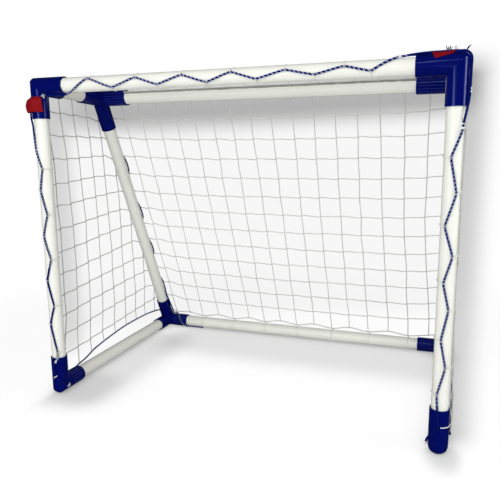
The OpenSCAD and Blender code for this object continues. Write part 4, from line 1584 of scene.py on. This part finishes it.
def floor_finish():
    """Pale paper that keeps the goal's shadows, with painted shade near the goal and painted shadows, lets
    the white surround through and fades out at its rim.
    """
    finish, nodes, links, shader = finish_nodes("floor_paper")
    shader.inputs["Roughness"].default_value = 0.9
    shader.inputs["Specular IOR Level"].default_value = 0
    nearby = nodes.new("ShaderNodeAmbientOcclusion")
    nearby.inputs["Distance"].default_value = SHADE_REACH
    nearby.inputs["Normal"].default_value = SHADE_LEAN
    clear = nodes.new("ShaderNodeBsdfTransparent")
    place = nodes.new("ShaderNodeTexCoord")
    shaded = graded(nodes, links, nearby.outputs["AO"], 0.0, 1.0, 1 - SHADE_DEPTH, 1.0)
    shaded = product(nodes, links, shaded, shadow_painted(nodes, links, place.outputs["Object"], FLOOR_PAINTED_SHADOWS))
    for tone, socket in ((FLOOR_TONE, shader.inputs["Base Color"]), (FLOOR_CLEAR, clear.inputs["Color"])):
        level = nodes.new("ShaderNodeMath")
        level.operation = "MULTIPLY"
        level.inputs[1].default_value = tone
        links.new(shaded, level.inputs[0])
        links.new(level.outputs["Value"], socket)
    lit = nodes.new("ShaderNodeAddShader")
    links.new(shader.outputs["BSDF"], lit.inputs[0])
    links.new(clear.outputs["BSDF"], lit.inputs[1])
    far = nodes.new("ShaderNodeVectorMath")
    far.operation = "LENGTH"
    links.new(place.outputs["Object"], far.inputs[0])
    gone = nodes.new("ShaderNodeBsdfTransparent")
    fade = nodes.new("ShaderNodeMixShader")
    inner, outer = (FLOOR_RADIUS * share for share in FLOOR_FADE)
    rim = graded(nodes, links, far.outputs["Value"], inner, outer, 0, 1)
    links.new(rim, fade.inputs["Fac"])
    links.new(lit.outputs["Shader"], fade.inputs[1])
    links.new(gone.outputs["BSDF"], fade.inputs[2])
    paper = nodes.new("ShaderNodeBsdfDiffuse")
    paper.inputs["Color"].default_value = (FLOOR_BOUNCE, FLOOR_BOUNCE, FLOOR_BOUNCE, 1)
    seen = camera_only(nodes, links, fade.outputs["Shader"], paper.outputs["BSDF"])
    links.new(seen, nodes["Material Output"].inputs["Surface"])
    return finish


def studio_world():
    """A white surround with painted soft shadows behind the goal; it lights the goal more dimly."""
    world = bpy.data.worlds.new("white_studio")
    world.use_nodes = True
    nodes, links = world.node_tree.nodes, world.node_tree.links
    nodes.clear()
    place = nodes.new("ShaderNodeTexCoord")
    painted_shadows = [(amount, [*steps, BEHIND_GOAL]) for amount, steps in PAINTED_SHADOWS]
    bright = shadow_painted(nodes, links, place.outputs["Generated"], painted_shadows)
    seen = nodes.new("ShaderNodeBackground")
    links.new(bright, seen.inputs["Strength"])
    seen.inputs["Color"].default_value = (1, 1, 1, 1)
    dim = nodes.new("ShaderNodeBackground")
    path = nodes.new("ShaderNodeLightPath")
    strength = graded(nodes, links, path.outputs["Is Glossy Ray"], 0, 1, SURROUND, GLOSS_ROOM)
    links.new(strength, dim.inputs["Strength"])
    out = nodes.new("ShaderNodeOutputWorld")
    mixed = camera_only(nodes, links, seen.outputs["Background"], dim.outputs["Background"])
    links.new(mixed, out.inputs["Surface"])
    return world


class GOAL_OT_stage(bpy.types.Operator):
    """Set up the floor, the lamps and the camera"""

    bl_idname = "goal.stage"
    bl_label = "Stage"

    def execute(self, context):
        only_once("floor")
        form = bmesh.new()
        bmesh.ops.create_circle(form, cap_ends=True, segments=96, radius=FLOOR_RADIUS)
        mesh = mesh_of(form, "floor")
        mesh.materials.append(floor_finish())
        floor = bpy.data.objects.new("floor", mesh)
        context.scene.collection.objects.link(floor)
        floor.visible_glossy = False
        for lamp in LAMPS:
            soft_lamp(*lamp)
        context.scene.world = studio_world()
        context.scene.view_settings.view_transform = "Standard"

        data = bpy.data.cameras.new("goal_camera")
        data.lens = CAMERA_LENS
        data.sensor_width = CAMERA_SENSOR
        camera = bpy.data.objects.new("goal_camera", data)
        turn = (
            Matrix.Rotation(math.radians(CAMERA_TURN), 4, "Z")
            @ Matrix.Rotation(math.radians(90 - CAMERA_DIP), 4, "X")
            @ Matrix.Rotation(math.radians(-CAMERA_ROLL), 4, "Z")
        )
        camera.matrix_world = Matrix.Translation(CAMERA_PLACE) @ turn
        context.scene.collection.objects.link(camera)
        context.scene.camera = camera
        return {"FINISHED"}


STEPS = [
    GOAL_OT_tubes,
    GOAL_OT_corners,
    GOAL_OT_net,
    GOAL_OT_cords,
    GOAL_OT_ties,
    GOAL_OT_tabs,
    GOAL_OT_stage,
]


class GOAL_PT_panel(bpy.types.Panel):
    """Sizes, colours and building steps of the goal"""

    bl_idname = "GOAL_PT_panel"
    bl_label = "Hockey Goal"
    bl_space_type = "VIEW_3D"
    bl_region_type = "UI"
    bl_category = "Goal"

    def draw(self, context):
        for group in (context.scene.goal_sizes, context.scene.goal_colours):
            box = self.layout.box()
            for name in group.__annotations__:
                box.prop(group, name)
        for step in STEPS:
            self.layout.operator(step.bl_idname)


CLASSES = [GoalSizes, GoalColours, *STEPS, GOAL_PT_panel]


def register():
    for cls in CLASSES:
        bpy.utils.register_class(cls)
    bpy.types.Scene.goal_sizes = bpy.props.PointerProperty(type=GoalSizes)
    bpy.types.Scene.goal_colours = bpy.props.PointerProperty(type=GoalColours)


def unregister():
    del bpy.types.Scene.goal_colours
    del bpy.types.Scene.goal_sizes
    for cls in reversed(CLASSES):
        bpy.utils.unregister_class(cls)


def main():
    register()
    bpy.ops.goal.tubes()
    bpy.ops.goal.corners()
    bpy.ops.goal.net()
    bpy.ops.goal.cords()
    bpy.ops.goal.ties()
    bpy.ops.goal.tabs()
    bpy.ops.goal.stage()


if __name__ == "__main__":
    main()
